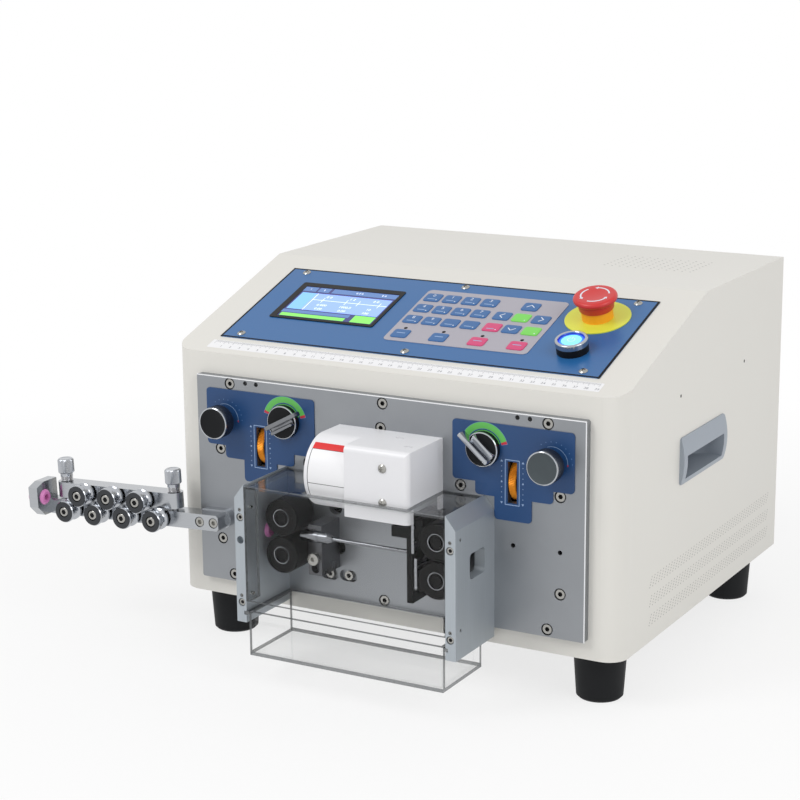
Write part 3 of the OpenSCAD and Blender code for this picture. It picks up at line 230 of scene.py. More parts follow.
def roll(r, h, radius, a0, a1, n=8):
    """Points of a rolled edge in a profile: a circle round (r, h) from a0 to a1 degrees."""
    return [(r + radius * x, h + radius * y) for x, y in ray(np.radians(np.linspace(a0, a1, n))).tolist()]


def tube(rings, low=True, high=True):
    """Rings of points joined one to the next, with flat ends."""
    count, n = rings.shape[:2]
    i, j = np.meshgrid(np.arange(count - 1), np.arange(n), indexing="ij")
    k = (j + 1) % n
    faces = np.stack([i * n + j, i * n + k, (i + 1) * n + k, (i + 1) * n + j], -1).reshape(-1, 4).tolist()
    if low:
        faces.append(list(range(n - 1, -1, -1)))
    if high:
        faces.append([(count - 1) * n + v for v in range(n)])
    return rings.reshape(-1, 3), faces


def stack(plane, rings, low=True, high=True):
    """Outlines of equal length carried from ring to ring, each at its own height."""
    return tube(np.stack([plane.put(o[:, 0], o[:, 1], h) for o, h in rings]), low, high)


def prism(plane, outline, h0, h1):
    return stack(plane, [(outline, h0), (outline, h1)])


def strip(edges):
    """Four lines of equal length joined into a closed strip."""
    return tube(np.stack(edges, 1))


FIGURES = {}
FIGURE_CAP, FIGURE_T = 0.7, 0.04  # a figure's share of the font's size, and its thickness


def figures(plane, text, height, x, y, h):
    """Plain figures as thin solids: their outlines are filled and raised."""
    if text not in FIGURES:
        curve = bpy.data.curves.new("figures", "FONT")
        curve.body, curve.align_x, curve.align_y, curve.extrude = text, "CENTER", "CENTER", 0.5
        curve.resolution_u = 3
        obj = bpy.data.objects.new("figures", curve)
        bpy.context.scene.collection.objects.link(obj)
        mesh = bpy.data.meshes.new_from_object(obj.evaluated_get(bpy.context.evaluated_depsgraph_get()))
        co = np.empty(len(mesh.vertices) * 3)
        mesh.vertices.foreach_get("co", co)
        FIGURES[text] = co.reshape(-1, 3), [list(p.vertices) for p in mesh.polygons]
        bpy.data.objects.remove(obj)
        bpy.data.curves.remove(curve)
        bpy.data.meshes.remove(mesh)
    co, faces = FIGURES[text]
    across, up = (co[:, i] * height / FIGURE_CAP for i in (0, 1))
    return plane.put(x + across, y + up, h + (co[:, 2] + 0.5) * FIGURE_T), faces


SHARP = math.radians(32)


class Shape:
    """Gathers the surfaces of one piece, each with its finish."""

    def __init__(self):
        self.verts, self.faces, self.marks, self.finishes = [], [], [], []

    def add(self, surface, finish):
        verts, faces = surface
        start = sum(len(v) for v in self.verts)
        if finish not in self.finishes:
            self.finishes.append(finish)
        self.verts.append(verts)
        self.faces += [[start + i for i in f] for f in faces]
        self.marks += [self.finishes.index(finish)] * len(faces)
        return self

    def sheet(self, plane, outline, h0, h1, cut):
        """A clear sheet: its faces are clear, and the sides named in cut show the sawn edge."""
        verts, faces = prism(plane, outline, h0, h1)
        for sawn, finish in ((True, "acrylic_edge"), (False, "acrylic")):
            self.add((verts, [f for i, f in enumerate(faces) if (i in cut) == sawn]), finish)

    def turn(self, plane, n, *bands, ends=True):
        """A profile turned round the plane's outward axis. Each band has a finish and then heights, each with a radius
        or an outline of n points, and starts where the last one stopped. Ends that aren't points are closed."""
        start = []
        for band, (finish, *profile) in enumerate(bands, 1):
            rings = start + [(circle(r, n) if np.isscalar(r) else r, h) for r, h in profile]
            low = ends and not start and rings[0][0].any()
            high = ends and band == len(bands) and rings[-1][0].any()
            self.add(stack(plane, rings, low, high), finish)
            start = rings[-1:]
        return self

    def instead(self, name, slot, node):
        """Makes the piece in place of a CAD piece that is a body of its own."""
        self.piece(name, slot, node, node)

    def piece(self, name, slot, body="machine", replaces=()):
        """Makes the mesh, closes its seams and poles, and lets it ride on its body."""
        mesh = bpy.data.meshes.new(name)
        mesh.from_pydata(np.concatenate(self.verts), [], self.faces)
        mesh.polygons.foreach_set("material_index", self.marks)
        for finish in self.finishes:
            mesh.materials.append(MATERIALS[finish])
        bm = bmesh.new()
        bm.from_mesh(mesh)
        bmesh.ops.remove_doubles(bm, verts=bm.verts, dist=1e-7)
        bmesh.ops.recalc_face_normals(bm, faces=bm.faces)
        bm.to_mesh(mesh)
        bm.free()
        mesh.shade_smooth()
        mesh.set_sharp_from_angle(angle=SHARP)
        obj = bpy.data.objects.new(name, mesh)
        bpy.context.scene.collection.objects.link(obj)
        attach(obj, body)
        if replaces:
            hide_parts(replaces)


# Finishes ------------------------------------------------------------------------------------

MATERIALS, PATTERNS = {}, {}
RELIEF = 0.0002  # depth of a finish's fine relief, in metres

# Prints: colour and roughness. The white print also makes the painted highlight dot on each key cap
PRINTS = {
    "print_white_and_glint": ((222, 228, 238), 0.5),
    "print_light": ((150, 176, 212), 0.5),
    "print_faint": ((98, 130, 176), 0.5),
    "print_green": ((96, 184, 86), 0.45),
    "print_red": ((190, 40, 60), 0.45),
    "label_red": ((216, 32, 34), 0.4),
    "ruler_white": ((238, 238, 240), 0.4),
}

# Lit surfaces: colour, colour of their own light and its strength
LIT = {
    "lens_edge": ((24, 70, 215), (30, 80, 245), 0.6),
    "lens_core": ((120, 215, 250), (120, 222, 255), 0.75),
    "screen_navy": ((34, 40, 96), (40, 50, 118), 0.5),
    "screen_bar": ((70, 104, 156), (84, 120, 176), 0.55),
    "screen_pale": ((120, 150, 236), (132, 162, 246), 0.75),
    "screen_sky": ((110, 170, 235), (130, 190, 245), 0.5),
    "screen_green": ((110, 205, 80), (130, 220, 96), 0.6),
    "screen_white": ((225, 235, 250), (235, 242, 255), 0.75),
}

# CAD pieces whose finish isn't their slot's
OWN_FINISH = {
    "left_bracket": "milled_aluminium",
    "right_bracket": "milled_aluminium",
    "socket_screws": "screw_steel",
    "cross_head_screws": "screw_steel",
    "guide_nozzle": "turned_steel",
    "bearing_plate": "roller_black",
}


def node(tree, kind, inputs=(), **settings):
    """A new shader node with its settings, and with values for inputs that are named or numbered."""
    made = tree.nodes.new("ShaderNode" + kind)
    for name, value in settings.items():
        setattr(made, name, value)
    for name, value in dict(inputs).items():
        made.inputs[name].default_value = value
    return made


def join(tree, *pairs):
    """Links each output to its input."""
    for start, end in pairs:
        tree.links.new(start, end)


def pattern_group(name, inputs):
    """A shader node group that puts out a Mask and a Height, with the sockets that its nodes are joined to."""
    tree = bpy.data.node_groups.new(name, "ShaderNodeTree")
    for label, kind, value in inputs:
        tree.interface.new_socket(label, in_out="INPUT", socket_type=kind).default_value = value
    for label in ("Mask", "Height"):
        tree.interface.new_socket(label, in_out="OUTPUT", socket_type="NodeSocketFloat")
    PATTERNS[name] = tree
    enter, leave = tree.nodes.new("NodeGroupInput"), tree.nodes.new("NodeGroupOutput")
    return tree, enter.outputs, leave.inputs, node(tree, "TexCoord").outputs["Object"]


def make_patterns():
    """grain: soft patches and fine pits. brushed: noise drawn out along one axis."""
    tree, enter, leave, place = pattern_group(
        "grain", [("Patches", "NodeSocketFloat", 12.0), ("Pits", "NodeSocketFloat", 900.0)])
    for source, target, detail in (("Patches", "Mask", 3), ("Pits", "Height", 2)):
        noise = node(tree, "TexNoise", {"Detail": detail})
        join(tree, (place, noise.inputs["Vector"]), (enter[source], noise.inputs["Scale"]),
             (noise.outputs["Fac"], leave[target]))
    tree, enter, leave, place = pattern_group("brushed", [("Stretch", "NodeSocketVector", (30, 900, 900))])
    drawn = node(tree, "VectorMath", operation="MULTIPLY")
    noise = node(tree, "TexNoise", {"Scale": 1.0, "Detail": 3})
    join(tree, (place, drawn.inputs[0]), (enter["Stretch"], drawn.inputs[1]),
         (drawn.outputs[0], noise.inputs["Vector"]),
         (noise.outputs["Fac"], leave["Mask"]), (noise.outputs["Fac"], leave["Height"]))


def finish(name, base, rough, metal=0.0, tone=0.02, spread=0.05, pits=900, patches=12, stretch=None, bump=0.05,
           **sockets):
    """A material: base colour and roughness shift with the pattern's mask, and its height gives the fine relief."""
    mat = bpy.data.materials.new(name)
    mat.use_nodes = True
    tree = mat.node_tree
    shader = tree.nodes["Principled BSDF"]
    if stretch:
        pattern = node(tree, "Group", {"Stretch": stretch}, node_tree=PATTERNS["brushed"])
    else:
        pattern = node(tree, "Group", {"Patches": patches, "Pits": pits}, node_tree=PATTERNS["grain"])
    mix = node(tree, "Mix", data_type="RGBA")
    ends = [socket for socket in mix.inputs if socket.type == "RGBA"]
    for end, factor in zip(ends, (1 - 2 * tone, 1 + 2 * tone)):
        end.default_value = [min(1.0, c * factor) for c in base] + [1.0]
    span = node(tree, "MapRange", {"To Min": max(0.02, rough - 2 * spread), "To Max": min(1.0, rough + 2 * spread)})
    relief = node(tree, "Bump", {"Strength": bump, "Distance": RELIEF})
    join(tree, (pattern.outputs["Mask"], mix.inputs["Factor"]),
         (next(s for s in mix.outputs if s.type == "RGBA"), shader.inputs["Base Color"]),
         (pattern.outputs["Mask"], span.inputs["Value"]), (span.outputs["Result"], shader.inputs["Roughness"]),
         (pattern.outputs["Height"], relief.inputs["Height"]), (relief.outputs["Normal"], shader.inputs["Normal"]))
    shader.inputs["Metallic"].default_value = metal
    for socket, value in sockets.items():
        shader.inputs[socket.replace("_", " ").title().replace("Ior", "IOR")].default_value = value
    MATERIALS[name] = mat
    return mat


def lit(name, base, glow, strength):
    """A lit print: a plain base with its own light."""
    finish(name, base, 0.25, tone=0.01, bump=0.0, emission_color=(*glow, 1), emission_strength=strength)


def clear_sheet(name, tint):
    """Clear acrylic: straight through, with a mirror share of 0.008 + 0.99 (1 - cos)^5 towards a glancing look."""
    mat = finish(name, (0.96, 0.97, 0.98), 0.04, 1.0, tone=0.004, spread=0.01, patches=6, bump=0.005)
    tree = mat.node_tree
    clear = node(tree, "BsdfTransparent", {"Color": (*tint, 1)})
    facing = node(tree, "LayerWeight", {"Blend": 0.5})
    steep = node(tree, "Math", {1: 5}, operation="POWER")
    share = node(tree, "Math", {1: 0.99, 2: 0.008}, operation="MULTIPLY_ADD")
    mix = node(tree, "MixShader")
    join(tree, (facing.outputs["Facing"], steep.inputs[0]), (steep.outputs[0], share.inputs[0]),
         (share.outputs[0], mix.inputs["Fac"]), (clear.outputs["BSDF"], mix.inputs[1]),
         (tree.nodes["Principled BSDF"].outputs["BSDF"], mix.inputs[2]),
         (mix.outputs["Shader"], tree.nodes["Material Output"].inputs["Surface"]))


class MACHINE_OT_finishes(bpy.types.Operator):
    """Make the finishes and put them on the CAD pieces"""

    bl_idname = "wire_machine.finishes"
    bl_label = "Finishes"

    def metals(self, c):
        finish("aluminium", srgb(149, 152, 156), 0.42, 0.9, tone=0.055, spread=0.06, pits=1500, patches=22, bump=0.2)
        finish("milled_aluminium", srgb(172, 179, 185), 0.5, 0.7, tone=0.05, stretch=(900, 900, 18), bump=0.08)
        finish("bright_aluminium", srgb(176, 179, 183), 0.22, 1.0, stretch=(18, 700, 700), bump=0.03)
        # A near-white metal for the painted highlight along the front plate's upper and right edges
        finish("aluminium_edge_highlight", srgb(240, 241, 243), 0.35, 0.5, tone=0.01, stretch=(18, 700, 700), bump=0.02)
        finish("bright_steel", srgb(196, 196, 198), 0.22, 1.0, tone=0.03, bump=0.03)
        finish("screw_steel", srgb(166, 165, 161), 0.26, 1.0, tone=0.05, patches=150, bump=0.06)
        finish("turned_steel", srgb(128, 130, 134), 0.2, 1.0, tone=0.03, stretch=(900, 60, 60), bump=0.03)
        finish("dark_steel", srgb(92, 93, 96), 0.3, 1.0, tone=0.05, patches=60)
        finish("tool_steel", srgb(150, 152, 156), 0.25, 1.0, tone=0.04, stretch=(600, 20, 600), bump=0.04)
        finish("black_oxide", srgb(62, 64, 67), 0.36, 0.8, tone=0.06, patches=80)
        finish("chrome", srgb(178, 181, 186), 0.12, 1.0, tone=0.01, spread=0.02, bump=0.01)
        finish("satin_dark", srgb(66, 72, 84), 0.32, 0.9, tone=0.04, bump=0.04)
        finish("brass", c.brass, 0.34, 0.6, tone=0.08, patches=90)

    def paints(self, c):
        finish("body_paint", c.body, 0.42, tone=0.012, pits=700, patches=5, bump=0.12)
        finish("chassis_steel", srgb(196, 196, 193), 0.45, tone=0.012, pits=700, patches=5, bump=0.12)
        finish("panel_blue", c.panel, 0.32, patches=9, pits=1400)
        finish("dial_blue", c.dial, 0.42, tone=0.03, patches=20, pits=1800, bump=0.08)
        finish("legend_yellow", c.legend, 0.4, tone=0.01, bump=0.03)
        # Black print, and also the painted shade in screw holes and hexagon sockets
        finish("print_black_and_shade", srgb(14, 14, 16), 0.5, bump=0.02, specular_ior_level=0.12)
        finish("print_grey", srgb(132, 134, 138), 0.5, bump=0.02)
        finish("vent_shade", srgb(158, 156, 151), 0.6, bump=0.02)
        for name, (rgb, rough) in PRINTS.items():
            finish(name, srgb(*rgb), rough, tone=0.01, bump=0.02)

    def mouldings(self, c):
        finish("rubber", srgb(13, 15, 18), 0.62, tone=0.08, pits=1200, patches=30, bump=0.2, specular_ior_level=0.25)
        finish("grey_plastic", c.handle, 0.4, pits=1600, bump=0.1)
        finish("keypad_grey", c.keypad, 0.5, pits=2200, bump=0.1)
        finish("display_black", srgb(9, 10, 13), 0.4, bump=0.02, specular_ior_level=0.2)
        finish("collar_yellow", c.collar, 0.4, bump=0.04)
        finish("stop_red", c.stop, 0.36, tone=0.03, pits=2600)
        finish("white_plastic", c.guard, 0.35, tone=0.01, patches=8)
        finish("black_plastic", srgb(12, 14, 17), 0.42, tone=0.05, pits=2500, bump=0.1, specular_ior_level=0.18)
        # The rear knob's face: a lighter grey, painted as the lit copy of the front knob's black face
        finish("lit_grey_face", srgb(66, 74, 78), 0.42, 0.3, tone=0.06, patches=60)
        finish("roller_black", c.roller, 0.42, 0.2, tone=0.06, patches=40, pits=1500, bump=0.12,
               specular_ior_level=0.14)
        finish("ceramic_pink", c.ceramic, 0.22, bump=0.03)
        finish("board_green", srgb(22, 92, 54), 0.4, tone=0.05, bump=0.1)
        finish("acrylic_edge", srgb(112, 115, 117), 0.3, tone=0.12, patches=260, pits=1400, bump=0.2, alpha=0.85)
        for key in ("key_blue", "key_pink", "key_green"):
            finish(key, getattr(c, key), 0.38, pits=1800, bump=0.06)
        clear_sheet("acrylic", (0.994, 0.995, 0.995))

    def execute(self, context):
        colours = context.scene.wire_machine_colours
        make_patterns()
        self.metals(colours)
        self.paints(colours)
        self.mouldings(colours)
        lit("button_blue", srgb(40, 130, 230), colours.lens, 0.5)
        for name, (base, glow, strength) in LIT.items():
            lit(name, srgb(*base), srgb(*glow), strength)
        slots = {part["node"]: part["material_slot"] for part in frame["record"]["subparts"]}
        for name, obj in frame["nodes"].items():
            obj.data.materials.clear()
            obj.data.materials.append(MATERIALS[OWN_FINISH.get(name, slots[name])])
        return {"FINISHED"}


# Pieces --------------------------------------------------------------------------------------


def holes(plane, xs, ys, r, n=8):
    """Many like discs at once: one small disc copied to every centre."""
    o = circle(r, n)
    x, y = np.broadcast_arrays(np.ravel(xs)[:, None], np.ravel(ys)[:, None])
    ring = [plane.put(x + o[:, 0], y + o[:, 1], level).reshape(-1, n, 3) for level in (-0.05, 0.03)]
    verts = np.concatenate(ring, 1).reshape(-1, 3)
    start = np.arange(x.shape[0])[:, None, None] * 2 * n
    j = np.arange(n)
    k = (j + 1) % n
    side = (start + np.stack([j, k, k + n, j + n], -1)[None]).reshape(-1, 4)
    ends = (start + np.stack([j[::-1], j + n])[None]).reshape(-1, n)
    return verts, side.tolist() + ends.tolist()


class MACHINE_OT_housing(bpy.types.Operator):
    """Vent fields and small holes of the housing in painted shade, and the front plate's painted edge highlight and
    socket shade
    """

    bl_idname = "wire_machine.housing"
    bl_label = "Housing"

    def vents(self, r):
        """Three leaning fields of holes and two screw holes on each side, and a square field on the top: discs of
        painted shade where the holes are.
        """
        across, row = np.meshgrid(np.arange(64, 362, 6.6), np.arange(5), indexing="ij")
        lean, rise = 1.2, 2.2
        screw_y, screw_z, screw_r = np.array([126.8, 285.9]), np.array([256.7, 256.7]), 1.5
        for label, plane, sign in (("right", RIGHT, 1), ("left", LEFT, -1)):
            vents = Shape()
            for low in (62.5, 80.0, 97.5):
                vents.add(holes(plane, sign * (across + lean * row), low + rise * row, r), "vent_shade")
            # The two screw holes are black discs of painted shade
            vents.add(holes(plane, sign * screw_y, screw_z, screw_r, 16), "print_black_and_shade")
            vents.piece(f"{label}_vents", "body_paint")
        x, y = np.meshgrid(np.arange(89, 178, 8), np.arange(270, 327, 8))
        Shape().add(holes(TOP, x, y, r * 1.4), "vent_shade").piece("top_vents", "body_paint")

    def plate(self):
        """Two thin near-white strips along the upper and right edge as a painted highlight, and a black hexagon of
        painted shade at the bottom of each socket.
        """
        face, tall = FRONT.at(0, 0, -PLATE_Y), PLATE_TOP - PLATE_LOW
        width, inset = 1.0, 0.7
        edge = Shape()
        for outline in (bar(0, PLATE_TOP - inset, 2 * PLATE_HALF - 0.4, width),
                        bar(PLATE_HALF - inset, PLATE_LOW + tall / 2 - inset, width, tall - 2 * inset)):
            edge.add(prism(face, outline, -0.1, 0.12), "aluminium_edge_highlight")
        edge.piece("plate_edge_highlight", "aluminium")
        sockets, key, bottom = Shape(), hexagon(2.05), 4.4
        for x, z in PLATE_SCREWS:
            # Each socket's floor is a black hexagon of painted shade
            sockets.add(prism(FRONT.at(x, z), key, bottom - 0.45, bottom), "print_black_and_shade")
        sockets.piece("screw_socket_shade", "bright_steel")

    def execute(self, context):
        self.vents(context.scene.wire_machine_sizes.vent / MM)
        self.plate()
        return {"FINISHED"}


def hex_head(shape, plane, r, h0, h1, key):
    """A socket head: a chamfered drum from h0 to h1 with a hexagon of inner radius key sunk into its top, its floor
    black as painted shade.
    """
    chamfer, sunk = 0.5, 0.4
    socket, floor = hexagon(key), hexagon(key - 0.1)
    head = (r, h0), (r, h1 - chamfer), (r - chamfer, h1), (socket, h1), (floor, h1 - sunk)
    shape.turn(plane, len(socket), ("screw_steel", *head), ("print_black_and_shade",))


class MACHINE_OT_wire_box(bpy.types.Operator):
    """Clear cover and tray made of sheets with sawn edges, bracket screws and the guard's blank label"""

    bl_idname = "wire_machine.wire_box"
    bl_label = "Wire box"

    GAP = 0.02  # between glued sheets

    def cover(self):
        """Front sheet, top sheet cut out round the guard, and two inner flanges."""
        half, low, high, t, deep = BOX_HALF - 0.3, 75.5, 182.0, 3.0, 15
        back = BOX_Y + t + self.GAP
        cover = Shape()
        cover.sheet(FRONT, bar(0, (low + high) / 2, 2 * half, high - low), -BOX_Y - t, -BOX_Y, (0, 1, 2, 3))
        left, right, front = -44.5, 61, -72
        notch = [(-half, back), (half, back), (half, PLATE_Y), (right, PLATE_Y), (right, front), (left, front),
                 (left, PLATE_Y), (-half, PLATE_Y)]
        cover.sheet(UPWARD, np.array(notch), high - t, high, (1, 2, 3, 4, 5, 6, 7))
        flange = bar(back + deep / 2, (low + high - t) / 2, deep, high - t - low - 2 * self.GAP)
        for m in (-1, 1):
            cover.sheet(SIDEWAYS, flange, *sorted((m * half, m * (half - t))), (0, 1))
        cover.piece("cover_sheets", "acrylic", replaces="safety_cover")

    def tray(self):
        """Four walls on a floor sheet, with a lip along each side that slides in the brackets."""
        half, wall, front, back, low, high = 98.5, 3.5, BOX_Y + 0.5, -7.3, 25.0, 66.0
        lip, lip_t = 4.68, 3
        up = low + wall + self.GAP
        mid, deep, middle, tall = (front + back) / 2, back - front, (up + high) / 2, high - up
        tray = Shape()
        tray.sheet(UPWARD, bar(0, mid, 2 * half, deep), low, low + wall, (0, 1, 2, 3))
        for y in (front, back - wall):
            tray.sheet(FRONT, bar(0, middle, 2 * half, tall), -y - wall, -y, (1, 2, 3))
        side = bar(mid, middle, deep - 2 * wall - 2 * self.GAP, tall)
        for m in (-1, 1):
            tray.sheet(SIDEWAYS, side, *sorted((m * half, m * (half - wall))), (2,))
            ledge = bar(m * (half + self.GAP + lip / 2), mid, lip, deep)
            tray.sheet(UPWARD, ledge, high - lip_t, high, (0, 1, 2, 3))
        tray.instead("tray_sheets", "acrylic", "scrap_tray")

    def screws(self):
        """Two socket heads in the front of each bracket, each with a small grub screw above it."""
        foot = -BOX_Y - 3.95
        kinds = ((3.4, 1.6, 0.9, (BRACKET_TOP - 30.2, BRACKET_LOW + 18.5)),
                 (1.6, 0.7, 0.4, (BRACKET_TOP - 23.2, BRACKET_LOW + 25)))
        heads = Shape()
        for m in (-1, 1):
            for r, key, sunk, places in kinds:
                for z in places:
                    hex_head(heads, FRONT.at(m * (BOX_HALF + 4.6), z), r, foot, -BOX_Y - sunk, key)
        heads.piece("bracket_screws", "bright_steel")

    def label(self):
        """A blank sheet round the guard's drum: angle t stands r cos t before and r sin t above the drum's axis."""
        label = Shape()

        def patch(x0, x1, t0, t1, lift, tint):
            t = np.radians(np.linspace(t0, t1, 3 + int(abs(t1 - t0)) // 2))
            under, over = GUARD_R - 0.2, GUARD_R + lift
            rows = [(x0, under), (x1, under), (x1, over), (x0, over)]
            label.add(strip([FRONT.put(x, GUARD_Z + r * np.sin(t), r * np.cos(t) - GUARD_Y) for x, r in rows]), tint)

        left, right, low, high, band = GUARD_LEFT + 3.5, GUARD_RIGHT - 0.2, -36, 58, 46
        patch(left, right, low, high, 0.1, "ruler_white")
        patch(left, right, band, high, 0.16, "label_red")
        for t in (low, -9, band - 0.6):
            patch(left + 0.2, right, t, t + 0.8, 0.14, "print_black_and_shade")
        patch(left, left + 0.5, low, band, 0.15, "print_black_and_shade")
        label.piece("blank_label", "white_plastic")

    def execute(self, context):
        self.cover()
        self.tray()
        self.screws()
        self.label()
        return {"FINISHED"}


# Keypad: columns, rows, and by (column, row) the turn of an arrow and the colour of a key that isn't blue
KEY_X = (-61.3, -41.7, -21.9, -2.0, 20.7, 39.9, 59.5)
KEY_Y = (33.4, 12.4, -9.0)
KEY_GAPS = ((4, 0), (6, 0))
KEY_MARKS = {(k % 4, k // 4): str(k) for k in range(10)}
KEY_ARROWS = {(5, 0): 0, (4, 1): 90, (6, 1): -90, (5, 2): 180}
KEY_TINTS = {(5, 1): "key_green", (6, 2): "key_green", (4, 2): "key_pink"}
# Width, height, corner and level of a cap's outlines, from its foot to its raised top
CAP = ((16.5, 14.3, 2.55, 0.4), (16.5, 14.3, 2.55, 1.12), (16.1, 13.9, 2.4, 1.25), (15.0, 12.8, 2.0, 1.32),
       (9.0, 7.0, 1.2, 1.36))
CAP_TOP = 1.3

# Fields of the screen: shares of its width, then of its height from the top, and finish
FIELDS = ((0, 0.14, 0.01, 0.15, "screen_bar"), (0.16, 0.28, 0.01, 0.15, "screen_bar"),
          (0.31, 1, 0.01, 0.15, "screen_bar"), (0.17, 0.985, 0.2, 0.75, "screen_pale"),
          (0.02, 0.17, 0.2, 0.75, "screen_sky"), (0, 0.72, 0.78, 0.87, "screen_bar"),
          (0.02, 0.7, 0.89, 0.985, "screen_green"), (0.77, 0.985, 0.77, 0.985, "screen_green"))
READINGS = ((0.29, ("0 0", "1 2", "0 0")), (0.56, ("0.000", "1000.0", "10")), (0.68, ("0.00", "0.00", "100")))
HEADINGS = ((0.07, "1"), (0.22, "2"), (0.6, "0 0 0"), (0.86, "0 0"))


class MACHINE_OT_control_panel(bpy.types.Operator):
    """Printed border, ruler strip, key caps and lit screen"""

    bl_idname = "wire_machine.control_panel"
    bl_label = "Control panel"

    def ruler(self, tick):
        """Ticks at every millimetre, longer at 5 and 10, hang from the upper edge, with a figure at each centimetre."""
        low, high, left, right = 8.0, 22.0, -196.0, 201.0
        zero, count = left + 4, 391
        base = SLOPE_PLANE.at(0, 0, -PANEL_T)
        outline = round_rect(right - left, high - low, 1.0, 3)
        scale = Shape().add(prism(base.at((left + right) / 2, (low + high) / 2), outline, 0, 0.12), "ruler_white")
        for i in range(count):
            tall = 5.6 if i % 10 == 0 else 4.2 if i % 5 == 0 else 2.8
            scale.add(prism(base, bar(zero + i, high - 0.6 - tall / 2, tick, tall), 0.1, 0.15), "print_grey")
            if i % 10 == 0 and i:
                scale.add(figures(base, str(i // 10), 3.0, zero + i, low + 3.6, 0.11), "print_grey")
        scale.piece("ruler_strip", "body_paint")

    def border(self):
        """Four dark bars along the edges of the panel."""
        (w, l), t = PANEL_SIZE, 1.9
        border = Shape()
        for x, y, bw, bh in ((0, l / 2 - t / 2, w, t), (0, t / 2 - l / 2, w, t), (w / 2 - t / 2, 0, t, l - 2 * t),
                             (t / 2 - w / 2, 0, t, l - 2 * t)):
            border.add(prism(SLOPE_PLANE, bar(x, PANEL_MID + y, bw, bh), -0.5, 0.06), "print_black_and_shade")
        border.piece("panel_border", "panel_blue")

    def keys(self):
        """Caps with a rolled edge on a grid, and a row of four with a small lamp above each."""
        keys, pad = Shape(), SLOPE_PLANE.at(*KEYPAD_AT)

        def cap(x, y, tint):
            plane = pad.at(x, y)
            keys.add(stack(plane, [(round_rect(w, h, r), z) for w, h, r, z in CAP]), tint)
            return plane.at(0, 0, CAP_TOP)

        for at in [(c, r) for c in range(len(KEY_X)) for r in range(len(KEY_Y)) if (c, r) not in KEY_GAPS]:
            tint = KEY_TINTS.get(at, "key_blue")
            plane = cap(KEY_X[at[0]], KEY_Y[at[1]], tint)
            if at in KEY_ARROWS:
                turned = plane.turned(math.radians(KEY_ARROWS[at]))
                for side in (-1, 1):
                    keys.add(prism(turned, bar(side * 1.9, 0.6, 5.6, 0.9, -side * 45), 0.0, 0.1), "print_white_and_glint")
                continue
            if at in KEY_MARKS:
                keys.add(figures(plane, KEY_MARKS[at], 4.2, 0, 3.0, 0.04), "print_white_and_glint")
            if tint != "key_green":
                keys.add(prism(plane, bar(-0.6, -3.2, 7.5, 1.0), 0.0, 0.1), "print_light")
            # A white dot near the cap's lower right corner: a painted highlight on its rolled edge
            keys.add(prism(plane, circle(0.7, 12) + np.array([5.0, -4.2]), -0.1, 0.09), "print_white_and_glint")
        for c in range(4):
            plane = cap(-59.4 + c * 39.1, -35.9, "key_blue" if c < 2 else "key_pink")
            keys.add(prism(plane, bar(0, 0.6, 8.5, 1.1), 0.0, 0.1), "print_light")
            lamp = (1.8, 0.3), (1.8, 0.6), (1.3, 0.8), (0, 0.9)
            keys.turn(pad.at(-59.8 + c * 39.3, -25.1), 20, ("print_black_and_shade", *lamp))
        keys.piece("key_caps", "keypad_grey")

    def screen(self):
        """Coloured fields, each by its share of the screen's size, with a ruled line and rows of figures."""
        screen = Shape()
        plane, (w, h) = SLOPE_PLANE.at(*SCREEN_AT, 0.4), SCREEN_SIZE

        def field(u0, u1, v0, v1, tint, low, high):
            outline = bar(((u0 + u1) / 2 - 0.5) * w, (0.5 - (v0 + v1) / 2) * h, (u1 - u0) * w, (v1 - v0) * h)
            screen.add(prism(plane, outline, low, high), tint)

        def word(text, size, u, v):
            screen.add(figures(plane, text, size, (u - 0.5) * w, (0.5 - v) * h, 0.13), "screen_white")

        field(0, 1, 0, 1, "screen_navy", -0.1, 0.1)
        for row in FIELDS:
            field(*row, 0.05, 0.15)
        lines = [(0.19, 0.196, 0.2, 0.75), (0.19, 0.985, 0.4, 0.411)]
        for line in lines + [(u, u + 0.005, 0.32, 0.48) for u in (0.3, 0.55, 0.68, 0.9)]:
            field(*line, "screen_white", 0.1, 0.19)
        for v, texts in READINGS:
            for column, text in enumerate(texts):
                word(text, 3.4, 0.34 + column * 0.25, v)
        for u, text in HEADINGS:
            word(text, 2.6, u, 0.08)
        screen.piece("lit_screen", "display_black")

    def execute(self, context):
        self.ruler(context.scene.wire_machine_sizes.tick / MM)
        self.border()
        self.keys()
        self.screen()
        return {"FINISHED"}


